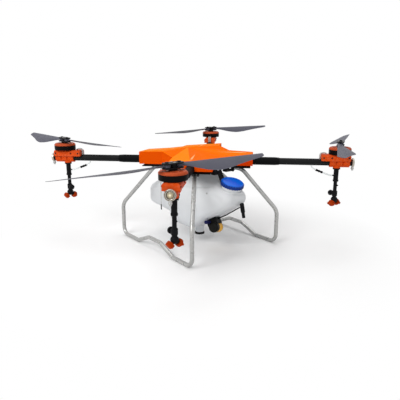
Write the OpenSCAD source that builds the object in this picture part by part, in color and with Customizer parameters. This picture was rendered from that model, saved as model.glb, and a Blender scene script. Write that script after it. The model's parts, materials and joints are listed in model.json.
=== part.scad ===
// Agricultural spray drone, four rotors, standing on its skids.
// Millimetres. Origin on the ground under the centre, +Z up, +Y to the front, +X to the right.

/* [Airframe] */
// Distance from the centre to each motor axis
motor_radius = 590; // [560:5:640]
// Height of the arm tubes' axis above the ground
arm_axis_z = 359; // [350:1:390]
// Outside diameter of an arm tube
arm_tube_d = 28; // [25:0.5:30]
// Wall of an arm tube
arm_tube_wall = 1.5; // [1:0.5:3]
// Distance from the centre to an arm tube's inner end
arm_root = 70; // [60:1:85]
// How far an arm tube runs past its motor axis
arm_overhang = 50; // [46:1:60]
// Thickness of the sleeve round an arm where it leaves the hood
sleeve_wall = 2.5; // [1.5:0.5:4]
// Length of that sleeve outside the hood
sleeve_l = 110; // [60:5:140]
// Length of the taper at the sleeve's outer end
sleeve_taper_l = 18; // [8:1:30]
// Thickness of a frame plate
plate_t = 2.5; // [2:0.5:4]
// How far the lower plate stays inside the hood's outline
plate_inset = 9; // [6:1:14]
// Side of the square upper plate
upper_plate_w = 190; // [160:5:200]
// Radius of the upper plate's corners
upper_plate_r = 22; // [10:1:40]
// Gap between a frame plate and an arm sleeve
plate_gap = 0.4; // [0.2:0.1:1]
// Wall between the lower plate and a skid tube in its clamp
clamp_wall = 2; // [1.5:0.5:4]
// Length of a clamp block along its tube
clamp_l = 36; // [24:2:44]
// How far a clamp block stands out on each side of its tube
clamp_cheek = 6; // [4:0.5:9]
// Distance from the centre to the middle of an arm clamp
arm_clamp_at = 125; // [110:1:140]
// Diameter of the wire holes in the plates
wire_hole_d = 18; // [10:1:24]
// Distance from the centre to the wire holes
wire_hole_at = 72; // [65:1:80]

/* [Hood] */
// Distance from the centre to an end face of the hood
hood_reach = 235; // [222:1:260]
// Width of the hood along an arm
hood_block_w = 170; // [150:2:180]
// Distance from the centre to the recess between two arms
hood_recess = 155.6; // [150:0.2:165]
// Room between the flight controller and the hood's peak
hood_room = 18.5; // [16:0.5:30]
// Depth of the hood's lower edge below the arm axis
hood_drop = 8; // [4:1:12]
// Wall of the hood
hood_wall = 2.5; // [1.5:0.5:4]
// Distance of the peak in front of the centre
hood_peak_y = 70; // [40:2:100]
// Fall of the top towards the rear, per millimetre
hood_rear_fall = 0.06; // [0.02:0.01:0.07]
// Fall of the top towards the front, per millimetre
hood_front_fall = 0.1; // [0.04:0.01:0.12]
// Fall from the arm line to the edges of the rear arms
hood_rear_bevel = 11; // [4:1:12]
// Width of the window in the rear recess
window_w = 58; // [40:1:64]
// Height of that window
window_h = 22; // [14:1:24]

/* [Motor] */
// Diameter of a motor bell
bell_d = 90; // [80:1:100]
// Height of a motor bell
bell_h = 28; // [24:1:34]
// Gap between a motor bell and its mount
bell_gap = 2; // [1:0.5:4]
// Wall of a motor bell
bell_wall = 3.5; // [2.5:0.5:5]
// Running gap between the stator and the bell
air_gap = 1.5; // [1:0.25:2.5]
// Diameter of the motor shaft
shaft_d = 10; // [8:0.5:14]
// Radial running clearance of shafts and pins
running_gap = 0.05; // [0.02:0.01:0.08]
// Radial clearance of pieces that are clamped or pushed together
fit_gap = 0.1; // [0.05:0.05:0.2]
// Number of windows in a bell's top
bell_windows = 8; // [6:1:10]
// Number of teeth on a stator
stator_teeth = 18; // [12:3:24]
// Diameter of the seat under the propeller hub
seat_d = 28; // [22:1:34]
// Height of that seat above the bell
seat_h = 6; // [3:0.5:9]
// Height of the fixed motor base between the mount and the stator
base_h = 6; // [4:0.5:8]
// Diameter of the fixed motor base
base_d = 60; // [50:1:66]

/* [Motor mount] */
// Width of the mount block
mount_w = 56; // [50:1:64]
// Length of the mount block towards the centre
mount_in = 75; // [60:1:84]
// Length of the mount block towards the arm's end
mount_out = 42; // [38:1:44]
// Height of the mount block
mount_h = 25; // [20:1:32]
// Height of the split between block and clamp above the arm axis
mount_split = 8; // [5:0.5:10]
// Chamfer along the mount block's edges
mount_chamfer = 6; // [2:0.5:9]
// Length of the lower clamp
under_l = 80; // [70:1:82]
// Thickness of the lower clamp round the tube
under_wall = 6; // [5:0.5:9]
// Thickness of the pad under the lower clamp
pad_t = 3; // [2:0.5:5]
// Number of slots in each side of the lower clamp
under_slots = 2; // [1:1:4]
// Width of a slot in the lower clamp
under_slot_w = 6; // [2:0.5:8]
// Depth of a slot in the lower clamp
under_slot_depth = 4; // [2:0.5:5]
// Diameter of the ring round the arm-end lamp
lamp_d = 37; // [32:1:42]
// Diameter of the lens of that lamp
lamp_lens_d = 20; // [14:1:24]
// Depth of the ring of that lamp
lamp_t = 9; // [6:1:14]

/* [Propeller] */
// Diameter of a propeller
prop_d = 762; // [700:2:800]
// Distance between the two blade pins of a hub
pin_spacing = 44; // [40:1:52]
// Diameter of a blade pin
pin_d = 6; // [5:0.5:8]
// Width of a hub plate
hub_w = 30; // [26:1:36]
// Thickness of a hub plate
hub_plate_t = 4; // [3:0.5:5]
// Height of a blade root
root_h = 10; // [8:0.5:12]
// Diameter of a blade root
root_d = 22; // [18:1:24]
// Chord at the blade's neck
chord_root = 20; // [16:1:24]
// Widest chord
chord_max = 74; // [60:1:82]
// Chord at the tip
chord_tip = 12; // [6:1:20]
// Length of the neck between a blade's root and the blade
neck_run = 13; // [10:1:18]
// Pitch angle at the neck
pitch_root = 22; // [14:1:26]
// Pitch angle at the tip
pitch_tip = 8; // [4:1:12]
// Thickness of the blade at its neck
blade_t_root = 8; // [6:0.5:9]
// Thickness of the blade at its tip
blade_t_tip = 1.8; // [1.2:0.2:3]

/* [Spray lance] */
// Distance of a lance from its motor axis, towards the centre
lance_inset = 9; // [0:1:14]
// Diameter of the lance's flange
lance_flange_d = 30; // [24:1:34]
// Thickness of the lance's flange
lance_flange_t = 5; // [3:0.5:8]
// Diameter of the lance's upper tube
lance_upper_d = 20; // [16:1:23]
// Length of the lance's upper tube
lance_upper_l = 52; // [46:1:70]
// Diameter of the lance's lower tube
lance_lower_d = 15; // [11:0.5:17]
// Length of the lance's lower tube
lance_lower_l = 42; // [25:1:50]
// Diameter of the check valve
valve_d = 22; // [18:0.5:25]
// Height of the check valve
valve_h = 20; // [20:0.5:26]
// Diameter of the check valve's knob
knob_d = 22; // [16:0.5:24]
// Length of that knob
knob_l = 12; // [8:0.5:16]
// Diameter of the ball in the nozzle body
ball_d = 28; // [25:0.5:31]
// Diameter of a nozzle spigot
spigot_d = 14; // [11:0.5:15]
// Angle of a nozzle spigot from straight down
spigot_angle = 52; // [48:1:58]
// Diameter of a bayonet cap
nozzle_cap_d = 26; // [22:0.5:28]
// Length of a bayonet cap
nozzle_cap_l = 16; // [13:0.5:19]
// Diameter of the spray hole
spray_hole_d = 3; // [1.5:0.5:4]
// Outside diameter of a spray hose
hose_d = 6; // [5:0.5:7]
// Outside diameter of the connector on a spray hose
connector_d = 9.5; // [9:0.5:12]
// Length of the connector on a spray hose
connector_l = 30; // [20:1:32]

/* [Skids] */
// Outside diameter of a skid tube
skid_d = 17; // [15:0.5:20]
// Wall of a skid tube
skid_wall = 1.5; // [1:0.5:3]
// Distance from the centre plane to a skid's rail
skid_track = 228; // [210:1:250]
// Distance from the centre to a skid's leg along the rail
skid_base = 258; // [240:1:275]
// Distance from the centre to the inner end of a skid
skid_root = 118; // [110:1:124]
// Distance from the centre to the upper bend of a leg
skid_knee = 188; // [180:1:196]
// Height of the lower bend of a leg
skid_elbow_z = 150; // [130:1:170]
// Half length between the two feet of a skid
foot_y = 134; // [120:1:150]
// Half length of the raised middle of a skid
hump_y = 43; // [36:1:60]
// Height of the raised middle of a skid
hump_h = 37; // [20:1:44]
// Bend radius at the top of a leg
bend_top = 55; // [30:1:60]
// Bend radius in the middle of a leg
bend_leg = 60; // [40:1:70]
// Bend radius at a foot
bend_foot = 34; // [24:1:44]
// Bend radius of the raised middle
bend_hump = 45; // [25:1:60]
// Distance from the centre to the middle of a skid clamp
skid_clamp_at = 140; // [138:1:144]

/* [Tank] */
// Gap between the lower plate and the tank, filled by the saddles
saddle_h = 30; // [24:1:36]
// Length of a saddle across the tank
saddle_l = 110; // [80:2:120]
// Width of a saddle
saddle_w = 22; // [14:1:30]
// Distance of a saddle from the centre
saddle_y = 50; // [36:1:58]
// Height of the tank from its flat top to its bottom
tank_h = 237; // [220:1:245]
// Wall of the tank
tank_wall = 3; // [2:0.5:4]
// Rounding of the tank's edges
tank_round = 35; // [30:1:38]
// Half width of the tank
tank_half_w = 100; // [92:1:108]
// Length of the flat top behind the centre
tank_rear_y = 70; // [64:1:80]
// Length of the flat top in front of the centre
tank_front_y = 85; // [70:1:95]
// Distance from the centre to the tank's front end
tank_nose_y = 250; // [220:2:260]
// Depth of the nose's top below the flat top
nose_drop = 76; // [60:1:86]
// Height of the nose
nose_h = 99; // [80:1:110]
// How much deeper the nose is where it meets the body
nose_rake = 22; // [0:1:40]
// How far the nose's root lies inside the body
nose_inset = 5; // [3:0.5:8]
// Rounding of the nose
nose_round = 28; // [22:1:34]
// Angle of the shoulder that falls to the rear
shoulder_angle = 16; // [10:1:20]
// Length of that shoulder
shoulder_l = 158; // [152:1:170]
// How much narrower each side of the rear end is
rear_narrowing = 36; // [25:1:42]
// Length of the tank's bottom behind the centre
bottom_rear_y = 25; // [22:1:40]
// Length of the tank's bottom in front of the centre
bottom_front_y = 78; // [60:1:85]
// How much narrower each side of the bottom is
bottom_narrowing = 14; // [8:1:24]
// Distance of the filler neck along the shoulder
neck_at = 142; // [132:1:144]
// Outside diameter of the filler neck
neck_d = 80; // [70:1:84]
// Wall of the filler neck
neck_wall = 5; // [3:0.5:7]
// Height of the filler neck
neck_h = 26; // [22:1:32]
// Outside diameter of the filler cap
cap_d = 94; // [92:1:98]
// Height of the filler cap
cap_h = 17; // [15:0.5:20]
// Thickness of the filler cap's top
cap_top_t = 5; // [3:0.5:6]
// Number of grip ribs round the filler cap
cap_ribs = 28; // [16:2:36]
// Thickness of the seal under the filler cap
seal_t = 2; // [1:0.5:3]
// Gap between the tank and the neck bracket's collar
collar_z = 1.5; // [1:0.5:3]
// Width of the neck bracket's collar round the neck
collar_w = 4; // [3:0.5:6]
// Width of the neck bracket's bar
bar_w = 24; // [16:1:30]
// Thickness of the neck bracket's bar
bar_t = 4; // [3:0.5:6]
// Gap between that bar and the filler cap
bar_gap = 2; // [1:0.5:4]
// Height of the neck bracket's collar
collar_h = 3; // [2:0.5:5]
// Diameter of the drain boss
drain_d = 38; // [28:1:42]
// Height of the drain boss
drain_h = 32; // [14:1:38]
// Height of the drain plug
plug_h = 9; // [6:0.5:12]
// Number of grip grooves round the drain plug
drain_grips = 12; // [8:1:16]
// Diameter of such a groove
drain_grip_d = 4; // [3:0.5:6]
// Distance of the drain behind the centre
drain_y = 14; // [0:1:20]

/* [Pump] */
// Diameter of the pump motor
pump_d = 44; // [38:1:46]
// Length of the pump motor
pump_motor_l = 52; // [44:1:60]
// Length of the pump head
pump_head_l = 44; // [36:1:50]
// Side of the pump head
pump_head_w = 46; // [40:1:48]
// Thickness of the pump bracket
bracket_t = 4; // [3:0.5:6]
// Turn of the pump from straight across the tank
pump_turn = 26; // [10:1:30]
// Distance of the pump along the tank's rear slope
pump_at = 92; // [84:1:100]
// Shift of the pump across the tank
pump_x = -14; // [-20:1:-6]
// Depth of the pump head between the bracket and the pump motor
pump_cradle = 12; // [8:1:18]
// Diameter of a hose port of the pump
port_d = 15; // [12:0.5:18]
// Length of the pump's hose port
port_l = 34; // [24:1:40]
// Diameter of the pump's lead
lead_d = 5; // [4:0.5:6]
// Length of the pump's lead before it turns up the slope
lead_run = 38; // [30:1:50]
// Diameter of the plug on the pump's lead
lead_plug_d = 17; // [14:0.5:20]
// Length of the plug on the pump's lead
lead_plug_l = 62; // [50:1:66]
// Lean of that plug from upright
lead_plug_lean = 12; // [0:1:20]

/* [Electronics] */
// Length of the flight controller
controller_l = 86; // [70:1:100]
// Width of the flight controller
controller_w = 56; // [46:1:70]
// Height of the flight controller
controller_h = 9; // [6:1:14]
// Side of the power board
board_w = 62; // [50:1:70]
// Height of the power board
board_h = 9; // [6:0.5:14]

/* [Hidden] */
$fn = 48;
eps = 0.5;
hull_sides = 20;
cord_sides = 16;
bend_step = 13;
notch_sides = 14;

arm_r = arm_tube_d / 2;
bell_r = bell_d / 2;
bell_inner_r = bell_r - bell_wall;
sleeve_r = arm_r + fit_gap + sleeve_wall;

// Heights, all from the arm axis
lower_plate_top = arm_axis_z - sleeve_r - plate_gap;
lower_plate_z = lower_plate_top - plate_t;
upper_plate_z = arm_axis_z + sleeve_r + plate_gap;
hood_z = arm_axis_z - hood_drop;
peak_z = upper_plate_z + plate_t + controller_h + hood_room;
split_z = arm_axis_z + mount_split;
mount_top = split_z + mount_h;
bell_z = mount_top + bell_gap;
bell_top = bell_z + bell_h;
hub_z = bell_top + seat_h;
root_z = hub_z + hub_plate_t + fit_gap;
hub_top = root_z + root_h + fit_gap + hub_plate_t;
under_r = arm_r + under_wall;
pad_z = arm_axis_z - under_r - pad_t;

// Each arm: name, direction, direction of its hub, fold of its blades, side of the trailing edge
ARMS = [
    ["rear_left", 225, 0, 0, 1],
    ["rear_right", 315, 31.5, -2.5, -1],
    ["front_left", 135, 96.5, -5, -1],
    ["front_right", 45, -2, -6, 1]
];
SIDES = ["a", "b"];

// Spray hose, in its arm's plane: distance from the motor axis to the centre, height from the arm axis
HOSE_ROUTE = [
    [113, -13], [110, -20], [104, -27], [94, -32.5], [80, -38], [64, -44], [50, -49], [38, -53], [30, -55],
    [24, -55]
];
// Segment of the hose that the connector sits on
CONNECTOR_SEGMENT = 4;

function unit(v) = v / norm(v);
function arm_xy(angle, along, across) =
    [along * cos(angle) - across * sin(angle), along * sin(angle) + across * cos(angle)];

// Outline of the X-shaped hood, counter-clockwise, five points an arm
function x_outline(reach, half_w, recess) = [
    for (angle = [45 : 90 : 315])
        for (p = [[recess * sqrt(2) - half_w, -1], [reach, -1], [reach, 0], [reach, 1],
            [recess * sqrt(2) - half_w, 1]])
            arm_xy(angle, p[0], p[1] * half_w)
];
// Distance of a point from the nearer arm line, as a share of the half width, behind the centre only
function edge_share(p) =
    p[1] > 0 ? 0 : min(1, abs(abs(p[0]) - abs(p[1])) / sqrt(2) / (hood_block_w / 2));
function hood_height(p) =
    peak_z - hood_front_fall * max(0, p[1] - hood_peak_y)
    - hood_rear_fall * max(0, hood_peak_y - p[1]) - hood_rear_bevel * edge_share(p);

// Arch over a sleeve, open below the hood, as straight facets
function sleeve_notch() =
    let (r = (sleeve_r + fit_gap) / cos(180 / notch_sides))
    concat(
        [for (k = [0 : notch_sides]) let (a = 180 * k / notch_sides) [r * cos(a), r * sin(a)]],
        [[-r, -2 * hood_drop], [r, -2 * hood_drop]]
    );

// Shell with vertical sides and a faceted top, open below
module hood_shell() {
    outer = x_outline(hood_reach, hood_block_w / 2, hood_recess);
    inner = x_outline(hood_reach - hood_wall, hood_block_w / 2 - hood_wall, hood_recess - hood_wall);
    peak = [0, hood_peak_y, peak_z];
    count = len(outer);
    points = concat(
        [for (p = outer) [p[0], p[1], hood_z]],
        [for (p = outer) [p[0], p[1], hood_height(p)]],
        [for (p = inner) [p[0], p[1], hood_z]],
        [for (p = inner) [p[0], p[1], hood_height(p) - hood_wall]],
        [peak, peak - [0, 0, hood_wall]]
    );
    faces = [
        for (i = [0 : count - 1])
            let (
                j = (i + 1) % count,
                outer_top = count,
                inner_edge = 2 * count,
                inner_top = 3 * count,
                outer_peak = 4 * count
            )
            each [
                [i, outer_top + i, outer_top + j, j],
                [outer_peak, outer_top + j, outer_top + i],
                [inner_edge + j, inner_top + j, inner_top + i, inner_edge + i],
                [outer_peak + 1, inner_top + i, inner_top + j],
                [i, j, inner_edge + j, inner_edge + i]
            ]
    ];
    polyhedron(points, faces);
}

module on_arm(angle) {
    rotate([0, 0, angle]) children();
}

// Straight rod between two points
module rod(p, q, r) {
    d = q - p;
    translate(p)
        rotate([0, acos(d[2] / norm(d)), atan2(d[1], d[0])])
            cylinder(r = r, h = norm(d));
}

// Points round the bend at q between the straights from p and to s
function bend_points(p, q, s, bend) =
    let (
        u = unit(q - p),
        v = unit(s - q),
        turn = acos(u * v),
        inward = cross(unit(cross(u, v)), u),
        start = q - u * bend * tan(turn / 2),
        steps = ceil(turn / bend_step)
    )
    [
        for (k = [0 : steps])
            let (a = turn * k / steps)
            start + bend * (inward * (1 - cos(a)) + u * sin(a))
    ];
// Path with its corners rounded, each by its own bend radius
function bent_path(path, bends) = concat(
    [path[0]],
    [for (i = [1 : len(path) - 2]) each bend_points(path[i - 1], path[i], path[i + 1], bends[i])],
    [path[len(path) - 1]]
);

// Triangles between rings of points, the first of which is number start
function side_faces(rings, sides, start) = [
    for (i = [0 : rings - 2], k = [0 : sides - 1])
        let (
            a = start + i * sides + k,
            b = start + i * sides + (k + 1) % sides
        )
        each [[a, b, b + sides], [a, b + sides, a + sides]]
];
function flipped(faces) = [for (f = faces) [f[2], f[1], f[0]]];
// Faces that join rings of points into a closed skin
function skin_faces(rings, sides) = concat(
    [[for (k = [0 : sides - 1]) sides - 1 - k]],
    side_faces(rings, sides, 0),
    [[for (k = [0 : sides - 1]) (rings - 1) * sides + k]]
);
// Triangles across the end of a tube, from an outer ring to an inner one
function end_faces(sides, outer, inner) = [
    for (k = [0 : sides - 1])
        let (j = (k + 1) % sides)
        each [[outer + k, outer + j, inner + j], [outer + k, inner + j, inner + k]]
];

// Rings of points round a path that never runs along the vector aside
function path_rings(path, r, sides, aside) =
    let (last = len(path) - 1)
    [
        for (i = [0 : last])
            let (
                ahead = i < last ? unit(path[i + 1] - path[i]) : [0, 0, 0],
                behind = i > 0 ? unit(path[i] - path[i - 1]) : [0, 0, 0],
                t = unit(ahead + behind),
                n = unit(aside - t * (aside * t)),
                m = cross(n, t)
            )
            for (k = [0 : sides - 1])
                path[i] + r * (cos(360 * k / sides) * n + sin(360 * k / sides) * m)
    ];

module swept_rod(path, r, sides, aside) {
    polyhedron(path_rings(path, r, sides, aside), skin_faces(len(path), sides));
}

module swept_tube(path, r, bore, sides, aside) {
    rings = len(path);
    inner = rings * sides;
    points = concat(path_rings(path, r, sides, aside), path_rings(path, bore, sides, aside));
    polyhedron(points, concat(
        side_faces(rings, sides, 0),
        flipped(side_faces(rings, sides, inner)),
        flipped(end_faces(sides, 0, inner)),
        end_faces(sides, inner - sides, 2 * inner - sides)
    ));
}

// Frame

module upper_plate() {
    color("dimgray")
        translate([0, 0, upper_plate_z])
            linear_extrude(plate_t)
                difference() {
                    union() {
                        square([upper_plate_w, upper_plate_w - 2 * upper_plate_r], center = true);
                        square([upper_plate_w - 2 * upper_plate_r, upper_plate_w], center = true);
                        for (x = [-1, 1], y = [-1, 1])
                            translate([x, y] * (upper_plate_w / 2 - upper_plate_r))
                                circle(r = upper_plate_r);
                    }
                    for (angle = [0 : 90 : 270])
                        rotate(angle)
                            translate([wire_hole_at, 0])
                                circle(d = wire_hole_d);
                }
}

module lower_plate() {
    color("dimgray")
        translate([0, 0, lower_plate_z])
            linear_extrude(plate_t)
                difference() {
                    polygon(x_outline(
                        hood_reach - plate_inset, hood_block_w / 2 - plate_inset, hood_recess - plate_inset));
                    for (angle = [0 : 90 : 270])
                        rotate(angle)
                            translate([wire_hole_at, 0])
                                circle(d = wire_hole_d);
                }
}

module arm_clamps() {
    block_w = arm_tube_d + 2 * clamp_cheek;
    color("dimgray")
        for (arm = ARMS)
            on_arm(arm[1])
                difference() {
                    translate([arm_clamp_at - clamp_l / 2, -block_w / 2, lower_plate_top])
                        cube([clamp_l, block_w, upper_plate_z - lower_plate_top]);
                    translate([arm_clamp_at - clamp_l, 0, arm_axis_z])
                        rotate([0, 90, 0])
                            cylinder(r = arm_r + fit_gap, h = 2 * clamp_l);
                }
}

module hood() {
    color("orangered")
        difference() {
            hood_shell();
            for (arm = ARMS)
                on_arm(arm[1])
                    translate([hood_reach / 2, 0, arm_axis_z])
                        rotate([90, 0, 90])
                            linear_extrude(hood_reach)
                                polygon(sleeve_notch());
            translate([-window_w / 2, -hood_recess - hood_wall, hood_z - eps])
                cube([window_w, 3 * hood_wall, window_h + eps]);
        }
}

module flight_controller() {
    color("black")
        translate([-controller_w / 2, -controller_l / 2, upper_plate_z + plate_t])
            cube([controller_w, controller_l, controller_h]);
}

module power_board() {
    color("darkgreen")
        translate([-board_w / 2, -board_w / 2, lower_plate_top])
            cube([board_w, board_w, board_h]);
}

// Arm

module arm_tube(arm) {
    length = motor_radius + arm_overhang - arm_root;
    color([0.12, 0.12, 0.13])
        on_arm(arm[1])
            difference() {
                translate([arm_root, 0, arm_axis_z])
                    rotate([0, 90, 0])
                        cylinder(r = arm_r, h = length);
                translate([arm_root - eps, 0, arm_axis_z])
                    rotate([0, 90, 0])
                        cylinder(r = arm_r - arm_tube_wall, h = length + 2 * eps);
                translate([motor_radius - HOSE_ROUTE[0][0], 0, arm_axis_z - 2 * arm_r])
                    cylinder(d = hose_d + 4, h = 2 * arm_r);
            }
}

module arm_sleeves() {
    inner_end = hood_reach - hood_wall - clamp_l / 2;
    taper_at = hood_reach + sleeve_l - sleeve_taper_l;
    color([0.09, 0.09, 0.1])
        for (arm = ARMS)
            on_arm(arm[1])
                translate([0, 0, arm_axis_z])
                    rotate([0, 90, 0])
                        difference() {
                            union() {
                                translate([0, 0, inner_end])
                                    cylinder(r = sleeve_r, h = taper_at - inner_end);
                                translate([0, 0, taper_at])
                                    cylinder(r1 = sleeve_r, r2 = arm_r + fit_gap + sleeve_wall / 2,
                                        h = sleeve_taper_l);
                            }
                            translate([0, 0, inner_end - eps])
                                cylinder(r = arm_r + fit_gap, h = taper_at + sleeve_taper_l);
                        }
}

// Motor mount: block above the arm, clamp below it

module motor_mounts() {
    profile = [
        [-mount_w / 2, 0], [mount_w / 2, 0], [mount_w / 2, mount_h - mount_chamfer],
        [mount_w / 2 - mount_chamfer, mount_h], [mount_chamfer - mount_w / 2, mount_h],
        [-mount_w / 2, mount_h - mount_chamfer]
    ];
    color("orangered")
        for (arm = ARMS)
            on_arm(arm[1])
                difference() {
                    translate([motor_radius - mount_in, 0, split_z])
                        rotate([90, 0, 90])
                            linear_extrude(mount_in + mount_out)
                                polygon(profile);
                    translate([motor_radius - 2 * mount_in, 0, arm_axis_z])
                        rotate([0, 90, 0])
                            cylinder(r = arm_r + fit_gap, h = 4 * mount_in);
                }
}

module mount_clamps() {
    slot_h = under_r;
    color("orangered")
        for (arm = ARMS)
            on_arm(arm[1])
                difference() {
                    union() {
                        translate([motor_radius - under_l / 2, 0, arm_axis_z])
                            rotate([90, 0, 90])
                                linear_extrude(under_l)
                                    union() {
                                        circle(r = under_r);
                                        translate([-under_r, 0])
                                            square([2 * under_r, mount_split]);
                                    }
                        translate([motor_radius - lance_inset, 0, pad_z])
                            cylinder(d = lance_flange_d, h = arm_axis_z - pad_z);
                    }
                    translate([motor_radius - under_l, 0, arm_axis_z])
                        rotate([0, 90, 0])
                            cylinder(r = arm_r + fit_gap, h = 2 * under_l);
                    translate([motor_radius - under_l, -2 * under_r, split_z])
                        cube([2 * under_l, 4 * under_r, 2 * under_r]);
                    for (i = [0 : under_slots - 1], side = [-1, 1])
                        translate([
                            motor_radius + (i - (under_slots - 1) / 2) * under_l / (under_slots + 1)
                                - under_slot_w / 2,
                            side * under_r - under_slot_depth,
                            arm_axis_z - slot_h / 2
                        ])
                            cube([under_slot_w, 2 * under_slot_depth, slot_h]);
                }
}

module lamp_rings() {
    ring_at = motor_radius + arm_overhang;
    color("silver")
        for (arm = ARMS)
            on_arm(arm[1])
                translate([ring_at, 0, arm_axis_z])
                    rotate([0, 90, 0])
                        rotate_extrude()
                            polygon([
                                [lamp_lens_d / 2 + fit_gap, 0], [lamp_d / 2 - 1.5, 0], [lamp_d / 2, 1.5],
                                [lamp_d / 2, lamp_t - 2], [lamp_d / 2 - 2, lamp_t],
                                [lamp_lens_d / 2 + 3, lamp_t], [lamp_lens_d / 2 + fit_gap, lamp_t - 3]
                            ]);
}

module lamp_lenses() {
    color("wheat")
        for (arm = ARMS)
            on_arm(arm[1])
                translate([motor_radius + arm_overhang, 0, arm_axis_z])
                    rotate([0, 90, 0])
                        rotate_extrude()
                            polygon([
                                [0, 0], [lamp_lens_d / 2, 0], [lamp_lens_d / 2, lamp_t - 4],
                                [lamp_lens_d / 4, lamp_t - 2], [0, lamp_t - 1.5]
                            ]);
}

// Motor

module motor_stators() {
    core_r = bell_inner_r - air_gap;
    core_z = mount_top + base_h;
    core_h = bell_top - bell_wall - air_gap - core_z;
    color([0.3, 0.2, 0.12])
        for (arm = ARMS)
            on_arm(arm[1])
                translate([motor_radius, 0, 0])
                    difference() {
                        union() {
                            translate([0, 0, mount_top])
                                cylinder(d = base_d, h = base_h);
                            translate([0, 0, core_z])
                                cylinder(r = core_r, h = core_h);
                        }
                        translate([0, 0, mount_top - eps])
                            cylinder(r = shaft_d / 2 + running_gap, h = bell_h + base_h);
                        for (i = [0 : stator_teeth - 1])
                            rotate([0, 0, i * 360 / stator_teeth])
                                translate([core_r, 0, core_z - eps])
                                    cylinder(d = core_r / stator_teeth * 2, h = core_h + 2 * eps, $fn = 16);
                    }
}

module motor_bell(arm) {
    window_l = bell_inner_r - seat_d / 2;
    color([0.1, 0.1, 0.1])
        on_arm(arm[1])
            translate([motor_radius, 0, 0]) {
                difference() {
                    translate([0, 0, bell_z])
                        rotate_extrude()
                            polygon([
                                [0, bell_h - bell_wall], [bell_inner_r, bell_h - bell_wall], [bell_inner_r, 0],
                                [bell_r - 1, 0], [bell_r, 1], [bell_r, bell_h - 5], [bell_r - 5, bell_h],
                                [seat_d / 2, bell_h], [seat_d / 2, bell_h + seat_h], [0, bell_h + seat_h]
                            ]);
                    for (i = [0 : bell_windows - 1])
                        rotate([0, 0, (i + 0.5) * 360 / bell_windows])
                            translate([(seat_d / 2 + bell_inner_r) / 2, 0, bell_z])
                                cylinder(d = window_l * 0.55, h = 2 * bell_h);
                }
                translate([0, 0, mount_top + 1])
                    cylinder(d = shaft_d, h = bell_top - bell_wall / 2 - mount_top - 1);
            }
}

// Propeller

module prop_hub(arm) {
    half = pin_spacing / 2;
    color([0.08, 0.08, 0.09])
        translate([motor_radius * cos(arm[1]), motor_radius * sin(arm[1]), 0])
            rotate([0, 0, arm[2]]) {
                for (z = [hub_z, hub_top - hub_plate_t])
                    translate([0, 0, z])
                        linear_extrude(hub_plate_t) {
                            square([pin_spacing, hub_w], center = true);
                            for (x = [-half, half])
                                translate([x, 0])
                                    circle(d = hub_w);
                        }
                translate([0, 0, hub_z])
                    cylinder(r = half - root_d / 2 - 1.5, h = hub_top - hub_z);
                for (x = [-half, half]) {
                    translate([x, 0, hub_z])
                        cylinder(d = pin_d, h = hub_top - hub_z);
                    translate([x, 0, hub_top])
                        cylinder(d = 1.8 * pin_d, h = pin_d / 2);
                }
            }
}

// Share of the way from a blade's neck to its tip, then its chord
CHORD_SHARES = [[0, 0], [0.08, 0.4], [0.16, 0.78], [0.27, 1], [0.4, 1], [0.6, 0.8], [0.8, 0.64],
    [0.92, 0.5], [0.97, 0.28], [1, 0]];
// Share of the way at which a blade is widest
WIDEST_AT = 0.27;
function blade_chord(s) =
    let (edge = s < WIDEST_AT ? chord_root : chord_tip)
    edge + (chord_max - edge) * lookup(s, CHORD_SHARES);
// Points round a blade's section: share of the chord from the leading edge, share of the thickness
SECTION = [[0, 0], [0.1, -0.3], [0.3, -0.36], [0.6, -0.2], [0.85, -0.06], [1, 0.03], [0.85, 0.24], [0.6, 0.5],
    [0.3, 0.62], [0.1, 0.42]];
// Stations along a blade, closer together where its outline turns
STATIONS = [0, 0.05, 0.1, 0.15, 0.2, 0.27, 0.34, 0.42, 0.52, 0.63, 0.74, 0.84, 0.92, 0.97, 1];

module blade_form(neck) {
    span = prop_d / 2 - pin_spacing / 2 - neck;
    lead = chord_root / 2;
    rings = [
        for (s = STATIONS)
            let (
                chord = blade_chord(s),
                pitch = pitch_root + (pitch_tip - pitch_root) * sqrt(s),
                thick = blade_t_root + (blade_t_tip - blade_t_root) * pow(s, 0.7)
            )
            for (p = SECTION)
                let (y = lead - lead * 0.5 * s * s - chord * p[0], z = thick * p[1])
                [neck + span * s, y * cos(pitch) - z * sin(pitch), y * sin(pitch) + z * cos(pitch)]
    ];
    polyhedron(rings, skin_faces(len(STATIONS), len(SECTION)));
}

module blade(arm, side) {
    neck = root_d / 2 + neck_run;
    turn = side == "a" ? 0 : 180;
    fold = side == "a" ? arm[3] : -arm[3];
    hand = arm[4];
    color([0.33, 0.33, 0.36])
        translate([motor_radius * cos(arm[1]), motor_radius * sin(arm[1]), root_z])
            rotate([0, 0, arm[2] + turn])
                translate([pin_spacing / 2, 0, 0])
                    rotate([0, 0, fold])
                        difference() {
                            union() {
                                cylinder(d = root_d, h = root_h);
                                translate([0, -chord_root * 0.35, root_h / 2 - blade_t_root * 0.4])
                                    cube([neck + 2, chord_root * 0.7, blade_t_root * 0.8]);
                                translate([0, 0, root_h / 2])
                                    mirror([0, hand > 0 ? 0 : 1, 0])
                                        blade_form(neck);
                            }
                            translate([0, 0, -eps])
                                cylinder(r = pin_d / 2 + running_gap, h = root_h + 2 * eps);
                        }
}

// Spray lance, its z measured down from the pad under the motor mount

lance_r = motor_radius - lance_inset;
lower_tube_z = pad_z - lance_flange_t - lance_upper_l;
valve_top = lower_tube_z - lance_lower_l;
valve_z = valve_top - valve_h;
ball_z = valve_z - 2 - ball_d / 2;
knob_out = valve_d / 2 + 6;
barb_z = arm_axis_z + HOSE_ROUTE[len(HOSE_ROUTE) - 1][1];
barb_l = HOSE_ROUTE[len(HOSE_ROUTE) - 1][0] - lance_inset;
cap_in = ball_d / 2 + 1.5;
spigot_l = cap_in + nozzle_cap_l - 4.5;

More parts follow.
